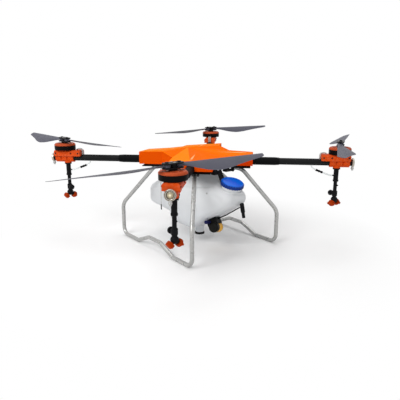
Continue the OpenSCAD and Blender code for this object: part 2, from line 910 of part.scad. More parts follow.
// Where a lance stands, and which way its check valve points
function lance_xy(arm) = arm_xy(arm[1], lance_r, 0);
function valve_turn(arm) = lance_xy(arm)[1] < 0 ? 90 : -90;

module spray_lances() {
    color([0.07, 0.07, 0.08])
        for (arm = ARMS)
            translate([lance_xy(arm)[0], lance_xy(arm)[1], 0]) {
                rotate_extrude()
                    polygon([
                        [0, pad_z], [lance_flange_d / 2, pad_z], [lance_flange_d / 2, pad_z - lance_flange_t],
                        [lance_upper_d / 2, pad_z - lance_flange_t - 3], [lance_upper_d / 2, lower_tube_z + 8],
                        [lance_upper_d / 2 + 1.5, lower_tube_z + 7], [lance_upper_d / 2 + 1.5, lower_tube_z + 1],
                        [lance_lower_d / 2, lower_tube_z - 2], [lance_lower_d / 2, valve_top + 3],
                        [valve_d / 2, valve_top], [valve_d / 2, valve_z], [0, valve_z]
                    ]);
                rotate([0, 0, valve_turn(arm)])
                    translate([0, 0, valve_z + valve_h / 2])
                        rotate([0, 90, 0])
                            cylinder(d = knob_d * 0.7, h = knob_out);
                rotate([0, 0, arm[1] + 180])
                    translate([0, 0, barb_z])
                        rotate([0, 90, 0])
                            cylinder(d = hose_d, h = barb_l);
            }
}

module valve_knobs() {
    color([0.07, 0.07, 0.08])
        for (arm = ARMS)
            translate([lance_xy(arm)[0], lance_xy(arm)[1], valve_z + valve_h / 2])
                rotate([0, 0, valve_turn(arm)])
                    translate([knob_out, 0, 0])
                        rotate([0, 90, 0])
                            rotate_extrude()
                                polygon([
                                    [0, 0], [knob_d / 2, 0], [knob_d / 2, knob_l * 0.6],
                                    [knob_d * 0.38, knob_l * 0.75], [knob_d * 0.34, knob_l], [0, knob_l]
                                ]);
}

module on_spigot(arm, way) {
    translate([lance_xy(arm)[0], lance_xy(arm)[1], ball_z])
        rotate([0, way * (180 - spigot_angle), 0])
            children();
}

module nozzle_bodies() {
    color([0.07, 0.07, 0.08])
        for (arm = ARMS) {
            translate([lance_xy(arm)[0], lance_xy(arm)[1], ball_z]) {
                sphere(d = ball_d);
                cylinder(d = valve_d * 0.75, h = valve_z - ball_z);
            }
            for (way = [-1, 1])
                on_spigot(arm, way)
                    cylinder(d = spigot_d, h = spigot_l);
        }
}

module nozzle_cap(arm, side) {
    way = side == "a" ? -1 : 1;
    wing_w = nozzle_cap_d * 0.3;
    color("orangered")
        on_spigot(arm, way)
            translate([0, 0, cap_in])
                difference() {
                    union() {
                        cylinder(d = nozzle_cap_d, h = nozzle_cap_l * 0.7);
                        translate([0, 0, nozzle_cap_l * 0.7])
                            cylinder(d1 = nozzle_cap_d, d2 = nozzle_cap_d * 0.7, h = nozzle_cap_l * 0.3);
                        translate([-wing_w / 2, -nozzle_cap_d / 2 - 3, nozzle_cap_l * 0.42])
                            cube([wing_w, nozzle_cap_d + 6, nozzle_cap_l * 0.45]);
                    }
                    translate([0, 0, -eps])
                        cylinder(r = spigot_d / 2 + running_gap, h = spigot_l - cap_in + fit_gap + eps);
                    cylinder(d = spray_hole_d, h = 2 * nozzle_cap_l);
                }
}

function hose_points() = [
    for (p = HOSE_ROUTE) [motor_radius - p[0], 0, arm_axis_z + p[1]]
];

module spray_hoses() {
    color("lightcyan")
        for (arm = ARMS)
            on_arm(arm[1])
                swept_rod(hose_points(), hose_d / 2, cord_sides / 2, [0, 1, 0]);
}

module hose_connectors() {
    p = hose_points()[CONNECTOR_SEGMENT - 1];
    q = hose_points()[CONNECTOR_SEGMENT + 1];
    u = unit(q - p);
    middle = (p + q) / 2;
    color([0.07, 0.07, 0.08])
        for (arm = ARMS)
            on_arm(arm[1])
                difference() {
                    rod(middle - u * connector_l / 2, middle + u * connector_l / 2, connector_d / 2);
                    rod(middle - u * connector_l, middle + u * connector_l, hose_d / 2 + 3 * fit_gap);
                }
}

// Skids

stub_z = lower_plate_z - clamp_wall - skid_d / 2;
skid_heading = atan2(skid_base, skid_track);

function skid_half(way) = [
    [skid_root * cos(skid_heading), way * skid_root * sin(skid_heading), stub_z],
    [skid_knee * cos(skid_heading), way * skid_knee * sin(skid_heading), stub_z],
    [skid_track, way * skid_base, skid_elbow_z],
    [skid_track, way * skid_base, skid_d / 2],
    [skid_track, way * foot_y, skid_d / 2],
    [skid_track, way * hump_y, skid_d / 2 + hump_h]
];
function reversed(list) = [for (i = [len(list) - 1 : -1 : 0]) list[i]];

module skid() {
    path = concat(skid_half(-1), reversed(skid_half(1)));
    half_bends = [0, bend_top, bend_leg, bend_foot, bend_hump, bend_hump];
    bends = concat(half_bends, reversed(half_bends));
    swept_tube(bent_path(path, bends), skid_d / 2, skid_d / 2 - skid_wall, cord_sides, [1, 0, 0]);
}

module right_skid() {
    color("silver") skid();
}

module left_skid() {
    color("silver") mirror([1, 0, 0]) skid();
}

module skid_clamps() {
    block_w = skid_d + 2 * clamp_cheek;
    bottom = stub_z - skid_d / 2 - 2 * clamp_wall;
    color([0.07, 0.07, 0.08])
        for (angle = [skid_heading, 180 - skid_heading, 180 + skid_heading, -skid_heading])
            on_arm(angle)
                difference() {
                    translate([skid_clamp_at - clamp_l / 2, -block_w / 2, bottom])
                        cube([clamp_l, block_w, lower_plate_z - bottom]);
                    translate([skid_clamp_at - clamp_l, 0, stub_z])
                        rotate([0, 90, 0])
                            cylinder(r = skid_d / 2 + fit_gap, h = 2 * clamp_l);
                }
}

// Tank

tank_top = lower_plate_z - saddle_h;
tank_z = tank_top - tank_h;
top_ball_z = tank_top - tank_round;
rear_end = [0, -tank_rear_y - shoulder_l * cos(shoulder_angle), top_ball_z - shoulder_l * sin(shoulder_angle)];
bottom_rear = [0, -bottom_rear_y, tank_z + tank_round];
shoulder_out = [0, -sin(shoulder_angle), cos(shoulder_angle)];
neck_foot = [0, -tank_rear_y, top_ball_z] + tank_round * shoulder_out
    + neck_at * [0, -cos(shoulder_angle), -sin(shoulder_angle)];

// The tank's outside, or its inside when shrunk by its wall
module tank_form(shrink) {
    r = tank_round;
    nose_end = tank_nose_y - nose_round;
    nose_low = tank_top - nose_drop - nose_h + nose_round;
    hull() {
        for (y = [-tank_rear_y, tank_front_y])
            tank_balls([0, y, top_ball_z], tank_half_w - r, r - shrink);
        tank_balls(rear_end, tank_half_w - rear_narrowing - r, r - shrink);
        tank_balls(bottom_rear, tank_half_w - bottom_narrowing - r, r - shrink);
        tank_balls([0, bottom_front_y, tank_z + r], tank_half_w - bottom_narrowing - r, r - shrink);
    }
    hull() {
        tank_balls([0, tank_front_y - nose_inset, top_ball_z - nose_inset], tank_half_w - r - nose_inset,
            r - shrink);
        tank_balls([0, nose_end, tank_top - nose_drop - nose_round], tank_half_w - nose_round,
            nose_round - shrink);
        tank_balls([0, nose_end, nose_low], tank_half_w - nose_round, nose_round - shrink);
        tank_balls([0, bottom_front_y - nose_inset, nose_low - nose_rake],
            tank_half_w - bottom_narrowing - nose_round, nose_round - shrink);
    }
}

module tank_balls(p, half, r) {
    for (x = [-half, half])
        translate(p + [x, 0, 0])
            sphere(r = r, $fn = hull_sides);
}

module at_neck() {
    translate(neck_foot)
        rotate([shoulder_angle, 0, 0])
            children();
}

module tank() {
    color("whitesmoke")
        difference() {
            union() {
                tank_form(0);
                at_neck()
                    translate([0, 0, -2 * tank_wall])
                        cylinder(d = neck_d, h = neck_h + 2 * tank_wall);
                translate([0, -drain_y, tank_z - drain_h])
                    cylinder(d = drain_d, h = drain_h + tank_wall);
            }
            tank_form(tank_wall);
            at_neck()
                translate([0, 0, -4 * tank_wall])
                    cylinder(d = neck_d - 2 * neck_wall, h = neck_h + 8 * tank_wall);
        }
}

module tank_saddles() {
    color([0.07, 0.07, 0.08])
        for (y = [-saddle_y, saddle_y])
            translate([-saddle_l / 2, y - saddle_w / 2, tank_top])
                cube([saddle_l, saddle_w, saddle_h]);
}

cap_inner_h = cap_h - cap_top_t;
cap_z = neck_h + seal_t + 2 * fit_gap - cap_inner_h;

module neck_bracket() {
    bar_at = cap_d / 2 + bar_gap;
    foot = [0, -hood_recess + plate_inset + 1.5 * bar_t, lower_plate_z];
    start = neck_foot + bar_at * [0, cos(shoulder_angle), sin(shoulder_angle)]
        + (collar_z + collar_h / 2) * shoulder_out;
    d = foot - start;
    lean = atan2(d[1], d[2]);
    color([0.07, 0.07, 0.08])
        difference() {
            union() {
                at_neck()
                    translate([0, 0, collar_z]) {
                        cylinder(d = neck_d + 2 * collar_w, h = collar_h);
                        translate([-bar_w / 2 - collar_w, 0, 0])
                            cube([bar_w + 2 * collar_w, bar_at + 2 * bar_t, collar_h]);
                    }
                intersection() {
                    translate(start)
                        rotate([-lean, 0, 0])
                            translate([-bar_w / 2, 0, 0])
                                cube([bar_w, bar_t, norm(d) + bar_w]);
                    translate([-bar_w, start[1] - bar_w, start[2] - bar_w])
                        cube([2 * bar_w, foot[1] - start[1] + 2 * bar_w, lower_plate_z - start[2] + bar_w]);
                }
            }
            at_neck()
                translate([0, 0, collar_z - bar_w])
                    cylinder(r = neck_d / 2 + fit_gap, h = collar_h + 2 * bar_w);
        }
}

module filler_cap() {
    rib = PI * cap_d / cap_ribs / 4;
    color("royalblue")
        at_neck()
            translate([0, 0, cap_z])
                difference() {
                    union() {
                        rotate_extrude()
                            polygon([
                                [0, 0], [cap_d / 2 - rib, 0], [cap_d / 2 - rib, cap_h - 3],
                                [cap_d / 2 - rib - 3, cap_h], [0, cap_h]
                            ]);
                        for (i = [0 : cap_ribs - 1])
                            rotate([0, 0, i * 360 / cap_ribs])
                                translate([cap_d / 2 - 2 * rib, -rib, 0])
                                    cube([2 * rib, 2 * rib, cap_h - 4]);
                    }
                    translate([0, 0, -eps])
                        cylinder(r = neck_d / 2 + 2 * fit_gap, h = cap_inner_h + eps);
                }
}

module cap_seal() {
    color("dimgray")
        at_neck()
            translate([0, 0, neck_h + fit_gap])
                difference() {
                    cylinder(r = neck_d / 2, h = seal_t);
                    translate([0, 0, -eps])
                        cylinder(r = neck_d / 2 - neck_wall, h = seal_t + 2 * eps);
                }
}

module drain_plug() {
    color([0.07, 0.07, 0.08])
        translate([0, -drain_y, tank_z - drain_h - plug_h])
            difference() {
                cylinder(d = drain_d + drain_grip_d, h = plug_h);
                for (i = [0 : drain_grips - 1])
                    rotate([0, 0, i * 360 / drain_grips])
                        translate([(drain_d + drain_grip_d) / 2, 0, -eps])
                            cylinder(d = drain_grip_d, h = plug_h + 2 * eps, $fn = cord_sides);
            }
}

// Pump, on the slope between the tank's bottom and its rear end

slope_along = unit(rear_end - bottom_rear);
slope_out = [0, -slope_along[2], slope_along[1]];
pump_foot = bottom_rear + slope_along * pump_at + slope_out * tank_round + [pump_x, 0, 0];
slope_tilt = atan2(slope_out[1], slope_out[2]);
head_h = pump_head_w * 0.55;
pump_axis = bracket_t + pump_cradle + pump_d / 2;
lead_z = bracket_t + lead_d;

function on_slope_point(p, z) =
    pump_foot + [p[0], 0, 0] + slope_along * p[1] + slope_out * z;
function pump_turned(x, y) =
    [x * cos(pump_turn) + y * sin(pump_turn), y * cos(pump_turn) - x * sin(pump_turn)];

// Frame on the slope: z away from the tank, y up the slope, turned as the pump is
module on_slope() {
    translate(pump_foot)
        rotate([-slope_tilt, 0, 0])
            rotate([0, 0, -pump_turn])
                children();
}

module pump_can(extra) {
    translate([-pump_motor_l * 0.55, 0, pump_axis])
        rotate([0, 90, 0])
            rotate_extrude()
                polygon([
                    [0, -extra], [pump_d / 2 - 5, -extra], [pump_d / 2 + extra, 5 - extra],
                    [pump_d / 2 + extra, pump_motor_l + extra], [0, pump_motor_l + extra]
                ]);
}

module pump_bracket() {
    color([0.07, 0.07, 0.08])
        on_slope()
            translate([-pump_head_l * 0.5, -pump_head_w / 2, 0])
                cube([pump_head_l, pump_head_w, bracket_t]);
}

module pump_head() {
    color([0.07, 0.08, 0.07])
        on_slope()
            difference() {
                union() {
                    translate([-pump_head_l / 2, -pump_head_w / 2, bracket_t])
                        cube([pump_head_l, pump_head_w, head_h]);
                    translate([-pump_head_l / 2 - port_l, -pump_head_w / 5, bracket_t + port_d / 2])
                        rotate([0, 90, 0])
                            cylinder(d = port_d, h = port_l);
                }
                pump_can(fit_gap);
            }
}

module pump_motor() {
    color("goldenrod")
        on_slope()
            pump_can(0);
}

// Lead of the pump, up the slope to the plug that hangs at the tank's rear end

lead_start = pump_turned(0, pump_head_w / 2);
lead_bend = lead_start + pump_turned(0, lead_run);
plug_at = [pump_x + lead_bend[0], rear_end[1] - tank_round - lead_plug_d / 2 - fit_gap];
lead_climb = (plug_at[1] - on_slope_point(lead_bend, lead_z)[1]) / slope_along[1];
lead_end = on_slope_point(lead_bend + [0, lead_climb], lead_z);
plug_top = lead_end[2] + lead_plug_d * 0.7;

module pump_lead() {
    path = [
        on_slope_point(lead_start, lead_z),
        on_slope_point(lead_bend, lead_z),
        lead_end - slope_along * 2
    ];
    color([0.05, 0.05, 0.05])
        swept_rod(bent_path(path, [0, 6 * lead_d, 0]), lead_d / 2, cord_sides / 2, [1, 0, 0]);
}

module lead_plug() {
    color([0.05, 0.05, 0.05])
        difference() {
            translate([plug_at[0], plug_at[1], plug_top])
                rotate([0, -lead_plug_lean, 0])
                    translate([0, 0, -lead_plug_l])
                        rotate_extrude()
                            polygon([
                                [0, 0], [lead_plug_d / 2 - 2, 0], [lead_plug_d / 2 - 2, lead_plug_l * 0.35],
                                [lead_plug_d / 2, lead_plug_l * 0.4], [lead_plug_d / 2, lead_plug_l - 3],
                                [lead_plug_d / 2 - 3, lead_plug_l], [0, lead_plug_l]
                            ]);
            rod(lead_end - slope_along * lead_plug_d, lead_end - slope_along * (2 - fit_gap),
                lead_d / 2 + fit_gap);
        }
}

function arm_nodes(stem) = [for (arm = ARMS) str(arm[0], stem)];
function paired_nodes(stem) = [for (arm = ARMS, side = SIDES) str(arm[0], stem, side)];

hood();
upper_plate();
lower_plate();
arm_clamps();
flight_controller();
power_board();
arm_sleeves();
motor_mounts();
mount_clamps();
motor_stators();
lamp_rings();
lamp_lenses();
spray_lances();
nozzle_bodies();
valve_knobs();
spray_hoses();
hose_connectors();
skid_clamps();
left_skid();
right_skid();
tank();
tank_saddles();
neck_bracket();
filler_cap();
cap_seal();
drain_plug();
pump_bracket();
pump_head();
pump_motor();
pump_lead();
lead_plug();
for (arm = ARMS) {
    arm_tube(arm);
    motor_bell(arm);
    prop_hub(arm);
    for (side = SIDES) {
        blade(arm, side);
        nozzle_cap(arm, side);
    }
}
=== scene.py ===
"""Spray drone: finishes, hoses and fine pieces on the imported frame, in metres."""
import json
from math import atan2, cos, pi, radians, sin, sqrt, tan

import bmesh
import bpy
from mathutils import Matrix, Vector


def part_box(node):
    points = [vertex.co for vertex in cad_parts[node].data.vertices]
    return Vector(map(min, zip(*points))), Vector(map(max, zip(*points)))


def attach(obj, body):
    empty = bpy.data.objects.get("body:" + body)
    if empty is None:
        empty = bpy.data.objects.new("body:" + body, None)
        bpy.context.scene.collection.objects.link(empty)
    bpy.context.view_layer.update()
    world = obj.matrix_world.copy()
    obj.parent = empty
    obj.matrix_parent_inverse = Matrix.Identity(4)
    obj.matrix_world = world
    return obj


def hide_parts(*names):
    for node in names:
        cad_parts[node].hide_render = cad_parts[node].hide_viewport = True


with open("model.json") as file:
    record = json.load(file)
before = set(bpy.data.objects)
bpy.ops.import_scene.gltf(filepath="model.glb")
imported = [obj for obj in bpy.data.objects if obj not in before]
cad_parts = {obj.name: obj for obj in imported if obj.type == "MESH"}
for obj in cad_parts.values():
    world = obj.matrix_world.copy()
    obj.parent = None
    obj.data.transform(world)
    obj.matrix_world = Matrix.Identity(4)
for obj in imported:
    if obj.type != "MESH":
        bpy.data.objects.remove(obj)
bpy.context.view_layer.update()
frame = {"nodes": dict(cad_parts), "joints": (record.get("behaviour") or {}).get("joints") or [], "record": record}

NODES = frame["nodes"]
JOINTS = {joint["name"]: joint for joint in frame["joints"]}
BODY_OF = {
    node: body for body, members in frame["record"]["behaviour"]["bodies"].items() for node in members
}
SLOT_OF = {part["node"]: part["material_slot"] for part in frame["record"]["subparts"]}
ARMS = ("rear_left", "rear_right", "front_left", "front_right")
SIDES = ("a", "b")
MM = 0.001
UP = Vector((0, 0, 1))


def link(obj):
    bpy.context.scene.collection.objects.link(obj)
    return obj


def box_of(node):
    low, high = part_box(node)
    return Vector(low), Vector(high)


def along(origin, axis):
    """Matrix that puts local Z along axis, at origin."""
    turn = Vector(axis).to_track_quat("Z", "Y").to_matrix().to_4x4()
    return Matrix.Translation(origin) @ turn


# Places read from the frame

ARM_Z = sum(corner.z for corner in box_of("rear_left_tube")) / 2
ROTOR_AT = {arm: Vector(JOINTS[arm + "_spin"]["pos_m"]) for arm in ARMS}
OUTWARD = {arm: Vector((ROTOR_AT[arm].x, ROTOR_AT[arm].y, 0)).normalized() for arm in ARMS}
NECK_AT = Vector(JOINTS["cap_turn"]["pos_m"])
NECK_AXIS = Vector(JOINTS["cap_turn"]["axis"])


def arm_point(arm, from_motor, height, across=0.0):
    """Point by an arm: outwards from the motor axis, up from the arm axis and across to the arm's left."""
    flat = ROTOR_AT[arm] + OUTWARD[arm] * from_motor + UP.cross(OUTWARD[arm]) * across
    return Vector((flat.x, flat.y, ARM_Z + height))


# Camera, at the photograph's angle. Its lens and sensor are in millimetres.

CAMERA_PLACE = (-1.155, -1.485, 0.664)
CAMERA_PITCH = radians(14.42)
CAMERA_HEADING = radians(51.82)
CAMERA_LENS = 39.8
CAMERA_SENSOR = 36
CAMERA_REACH = 60.0


def make_camera():
    data = bpy.data.cameras.new("photo_camera")
    data.lens = CAMERA_LENS
    data.sensor_width = CAMERA_SENSOR
    data.clip_end = CAMERA_REACH
    camera = link(bpy.data.objects.new("photo_camera", data))
    camera.location = CAMERA_PLACE
    camera.rotation_euler = (pi / 2 - CAMERA_PITCH, 0, CAMERA_HEADING - pi / 2)
    bpy.context.scene.camera = camera


# Shader groups that several finishes share


def shader_group(name, inputs, outputs):
    tree = bpy.data.node_groups.new(name, "ShaderNodeTree")
    for label, kind, value in inputs:
        socket = tree.interface.new_socket(label, in_out="INPUT", socket_type=kind)
        if value is not None:
            socket.default_value = value
    for label, kind in outputs:
        tree.interface.new_socket(label, in_out="OUTPUT", socket_type=kind)
    return tree, tree.nodes.new("NodeGroupInput"), tree.nodes.new("NodeGroupOutput")


def add(tree, kind, **settings):
    node = tree.nodes.new(kind)
    for key, value in settings.items():
        setattr(node, key, value)
    return node


def feed(tree, socket, value):
    """Links a socket to another, or sets its value."""
    if isinstance(value, bpy.types.NodeSocket):
        tree.links.new(value, socket)
    else:
        socket.default_value = value


def maths(tree, operation, a, b=None, clamp=False):
    node = add(tree, "ShaderNodeMath", operation=operation, use_clamp=clamp)
    feed(tree, node.inputs[0], a)
    if b is not None:
        feed(tree, node.inputs[1], b)
    return node.outputs[0]


def times(tree, a, b, clamp=False):
    return maths(tree, "MULTIPLY", a, b, clamp)


def noise(tree, vector, scale, detail=3.0, rough=0.5):
    node = add(tree, "ShaderNodeTexNoise")
    feed(tree, node.inputs["Vector"], vector)
    feed(tree, node.inputs["Scale"], scale)
    node.inputs["Detail"].default_value = detail
    node.inputs["Roughness"].default_value = rough
    return node.outputs["Fac"]


def spread(tree, value, low, high, to_low=0.0, to_high=1.0):
    """Maps the stretch from low to high onto another one."""
    node = add(tree, "ShaderNodeMapRange")
    for socket, number in zip(node.inputs[:5], (value, low, high, to_low, to_high)):
        feed(tree, socket, number)
    return node.outputs[0]


def blend_colours(tree, share, a, b):
    node = add(tree, "ShaderNodeMix", data_type="RGBA")
    feed(tree, node.inputs["Factor"], share)
    feed(tree, node.inputs[6], a)
    feed(tree, node.inputs[7], b)
    return node.outputs[2]


def parts_of(tree, vector):
    """The X, Y and Z of a vector."""
    node = add(tree, "ShaderNodeSeparateXYZ")
    tree.links.new(vector, node.inputs[0])
    return node.outputs


def dot_product(tree, vector, way):
    node = add(tree, "ShaderNodeVectorMath", operation="DOT_PRODUCT")
    tree.links.new(vector, node.inputs[0])
    node.inputs[1].default_value = way
    return node.outputs["Value"]


def make_colour_drift():
    tree, source, sink = shader_group(
        "colour drift",
        [("Vector", "NodeSocketVector", None), ("Colour", "NodeSocketColor", (1, 1, 1, 1)),
         ("Shade", "NodeSocketColor", (0, 0, 0, 1)), ("Scale", "NodeSocketFloat", 6.0),
         ("Amount", "NodeSocketFloat", 0.3)],
        [("Colour", "NodeSocketColor")],
    )
    cloud = noise(tree, source.outputs["Vector"], source.outputs["Scale"], 4.0, 0.55)
    share = times(tree, spread(tree, cloud, 0.35, 0.68), source.outputs["Amount"])
    tone = blend_colours(tree, share, source.outputs["Colour"], source.outputs["Shade"])
    tree.links.new(tone, sink.inputs["Colour"])
    return tree


def make_grain():
    tree, source, sink = shader_group(
        "moulded grain",
        [("Vector", "NodeSocketVector", None), ("Scale", "NodeSocketFloat", 900.0),
         ("Smooth", "NodeSocketFloat", 0.3), ("Rough", "NodeSocketFloat", 0.5)],
        [("Height", "NodeSocketFloat"), ("Roughness", "NodeSocketFloat")],
    )
    patch_scale, fine_share = 38.0, 0.25
    fine = noise(tree, source.outputs["Vector"], source.outputs["Scale"], 2.0, 0.6)
    tree.links.new(fine, sink.inputs["Height"])
    patches = noise(tree, source.outputs["Vector"], patch_scale, 5.0, 0.65)
    mixed = maths(tree, "ADD", times(tree, patches, 1 - fine_share), times(tree, fine, fine_share))
    rough = spread(tree, mixed, 0.35, 0.65, source.outputs["Smooth"], source.outputs["Rough"])
    tree.links.new(rough, sink.inputs["Roughness"])
    return tree


def make_edge_wear():
    tree, source, sink = shader_group(
        "edge wear",
        [("Vector", "NodeSocketVector", None), ("Amount", "NodeSocketFloat", 0.5),
         ("Scale", "NodeSocketFloat", 120.0)],
        [("Mask", "NodeSocketFloat")],
    )
    geometry = add(tree, "ShaderNodeNewGeometry")
    edge = spread(tree, geometry.outputs["Pointiness"], 0.53, 0.62)
    cloud = noise(tree, source.outputs["Vector"], source.outputs["Scale"], 6.0, 0.7)
    worn = times(tree, edge, spread(tree, cloud, 0.45, 0.6))
    tree.links.new(times(tree, worn, source.outputs["Amount"], True), sink.inputs["Mask"])
    return tree


def make_dust():
    tree, source, sink = shader_group(
        "settled dust",
        [("Vector", "NodeSocketVector", None), ("Amount", "NodeSocketFloat", 0.2)],
        [("Mask", "NodeSocketFloat")],
    )
    patch_scale = 55.0
    normal = add(tree, "ShaderNodeNewGeometry").outputs["Normal"]
    upward = spread(tree, parts_of(tree, normal)["Z"], 0.2, 1.0)
    cloud = noise(tree, source.outputs["Vector"], patch_scale, 8.0, 0.7)
    settled = times(tree, upward, spread(tree, cloud, 0.4, 0.75))
    tree.links.new(times(tree, settled, source.outputs["Amount"], True), sink.inputs["Mask"])
    return tree


COLOUR_DRIFT = make_colour_drift()
GRAIN = make_grain()
EDGE_WEAR = make_edge_wear()
DUST = make_dust()


# Finishes

DUST_COLOUR = (0.55, 0.53, 0.48, 1)


def shade_of(colour, share):
    return tuple(c * share for c in colour[:3]) + (1,)


def group_node(tree, group, **values):
    node = add(tree, "ShaderNodeGroup", node_tree=group)
    for label, value in values.items():
        feed(tree, node.inputs[label], value)
    return node


def finish(name, colour, shade=0.72, drift=(9.0, 0.35), smooth=0.3, rough=0.45, grain=(900.0, 0.03 * MM),
           wear=None, dust=0.05, metal=0.0, coat=0.0, shine=0.3, paint=None, relief=None, painted_light=None,
           extra=None):
    """Material from the shared groups.

    The colour drifts to a shade of itself, drift being the scale and the strength of the clouds. The
    roughness lies between smooth and rough, grain is the relief's scale and depth, and wear the colour and
    the strength of worn edges. paint(tree, coords, colour socket) may lay marks on the colour, relief(tree,
    coords, height socket) may add to the height, and the painted light function (tree, coords) gives an
    emission colour, painted light that lightens shaded parts. extra sets constant sockets on the shader.
    """
    material = bpy.data.materials.new(name)
    material.use_nodes = True
    tree = material.node_tree
    shader = tree.nodes["Principled BSDF"]
    coords = add(tree, "ShaderNodeTexCoord").outputs["Object"]
    base = (*colour, 1)
    tone = group_node(tree, COLOUR_DRIFT, Vector=coords, Colour=base, Shade=shade_of(base, shade),
                      Scale=drift[0], Amount=drift[1]).outputs["Colour"]
    if paint:
        tone = paint(tree, coords, tone)
    surface = group_node(tree, GRAIN, Vector=coords, Scale=grain[0], Smooth=smooth, Rough=rough)
    if wear:
        worn = group_node(tree, EDGE_WEAR, Vector=coords, Amount=wear[1]).outputs["Mask"]
        tone = blend_colours(tree, worn, tone, (*wear[0], 1))
    if dust:
        dusty = group_node(tree, DUST, Vector=coords, Amount=dust).outputs["Mask"]
        tone = blend_colours(tree, dusty, tone, DUST_COLOUR)
    tree.links.new(tone, shader.inputs["Base Color"])
    tree.links.new(surface.outputs["Roughness"], shader.inputs["Roughness"])
    height = surface.outputs["Height"]
    if relief:
        height = relief(tree, coords, height)
    bump = add(tree, "ShaderNodeBump")
    bump.inputs["Strength"].default_value = 1.0
    bump.inputs["Distance"].default_value = grain[1]
    tree.links.new(height, bump.inputs["Height"])
    tree.links.new(bump.outputs["Normal"], shader.inputs["Normal"])
    shader.inputs["Metallic"].default_value = metal
    shader.inputs["Coat Weight"].default_value = coat
    shader.inputs["Specular IOR Level"].default_value = shine
    # Painted light, given as an emission colour
    if painted_light:
        tree.links.new(painted_light(tree, coords), shader.inputs["Emission Color"])
        shader.inputs["Emission Strength"].default_value = 1.0
    for label, value in (extra or {}).items():
        shader.inputs[label].default_value = value
    return material


def height_band(tree, coords, low, high):
    """Mask that is 1 between two heights."""
    height = parts_of(tree, coords)["Z"]
    above = maths(tree, "GREATER_THAN", height, low)
    below = maths(tree, "LESS_THAN", height, high)
    return times(tree, above, below)


def facing(tree, way):
    """How much the surface faces a way: 1 straight at it, -1 straight away."""
    return dot_product(tree, add(tree, "ShaderNodeTexCoord").outputs["Normal"], way)


TWILL_SCALE = 1 / (9 * MM)
TWILL_RIB = (0.022, 0.023, 0.024, 1)


def twill(tree, coords):
    """Diagonal ribs of woven fibre: 1 on a rib, 0 between."""
    wave = add(tree, "ShaderNodeTexWave", wave_type="BANDS", bands_direction="DIAGONAL")
    tree.links.new(coords, wave.inputs["Vector"])
    wave.inputs["Scale"].default_value = TWILL_SCALE
    wave.inputs["Distortion"].default_value = 0.6
    wave.inputs["Detail"].default_value = 1.0
    return wave.outputs["Fac"]


def twill_paint(tree, coords, tone):
    return blend_colours(tree, times(tree, twill(tree, coords), 0.5), tone, TWILL_RIB)


def twill_relief(tree, coords, height):
    return maths(tree, "ADD", height, twill(tree, coords))


# An orange ring goes round the bell under its top face, which lies below the hub's seat
HUB_SEAT = 6 * MM
BELL_RING = 9 * MM
BELL_TOP = box_of("rear_left_bell")[1].z - HUB_SEAT


def bell_paint(tree, coords, tone):
    ring = height_band(tree, coords, BELL_TOP - BELL_RING, BELL_TOP + 0.5 * MM)
    return blend_colours(tree, ring, tone, (0.42, 0.068, 0.022, 1))


# Painted shade: the cap's sides are darker blue than its top
def cap_side_shade(tree, coords, tone):
    side = spread(tree, facing(tree, NECK_AXIS), 0.8, 0.35)
    return blend_colours(tree, side, tone, (0.001, 0.03, 0.22, 1))


def make_shell_plastic():
    """Orange cover with painted light: a painted sheen on its top's left-facing facets, painted shade on its walls
    that deepens towards the right, and a pale painted highlight along each block's ridge.
    """
    left = (-sqrt(0.5), sqrt(0.5), 0)
    # Painted shade for the walls: the first colour on the left, the deeper one on the right
    shaded_wall, deeper_shaded_wall = (0.7, 0.076, 0.001, 1), (0.56, 0.037, 0.001, 1)
    # Painted sheen for the top's left-facing facets, and a pale painted highlight for the ridges
    painted_sheen, painted_ridge_highlight = (0.9, 0.225, 0.006, 1), (0.95, 0.6, 0.28, 1)

    def ridge(tree, parts):
        """Painted highlight along the middle of each block, wider towards the block's end and faint on its wall.
        """
        sides = [maths(tree, "ABSOLUTE", parts[axis]) for axis in ("X", "Y")]
        off = maths(tree, "ABSOLUTE", maths(tree, "SUBTRACT", *sides))
        reach = maths(tree, "ADD", *sides)
        width = spread(tree, reach, 0.1, 0.26, 0.5 * MM, 7 * MM)
        line = spread(tree, maths(tree, "DIVIDE", off, width), 0.4, 1.0, 0.75, 0.0)
        line = times(tree, line, spread(tree, reach, 0.26, 0.3, 1.0, 0.15))
        return times(tree, line, spread(tree, reach, 0.1, 0.18))

    def paint(tree, coords, tone):
        parts = parts_of(tree, coords)
        # Painted shade: the walls darken towards the right
        rightward_shade = spread(tree, maths(tree, "SUBTRACT", parts["X"], parts["Y"]), -0.1, 0.3)
        wall = blend_colours(tree, rightward_shade, shaded_wall, deeper_shaded_wall)
        # Painted sheen on the top's facets that face left
        top = blend_colours(tree, spread(tree, facing(tree, left), -0.06, 0.06), tone, painted_sheen)
        # Painted highlight along each block's ridge
        top = blend_colours(tree, ridge(tree, parts), top, painted_ridge_highlight)
        # The walls take the painted shade and the top takes the painted sheen
        return blend_colours(tree, spread(tree, facing(tree, UP), 0.5, 0.9), wall, top)

    return finish("orange moulded shell", (0.9, 0.143, 0.001), shade=0.88, drift=(5, 0.35), smooth=0.46,
                  rough=0.6, grain=(1400, 0.02 * MM), dust=0, shine=0.006, paint=paint)


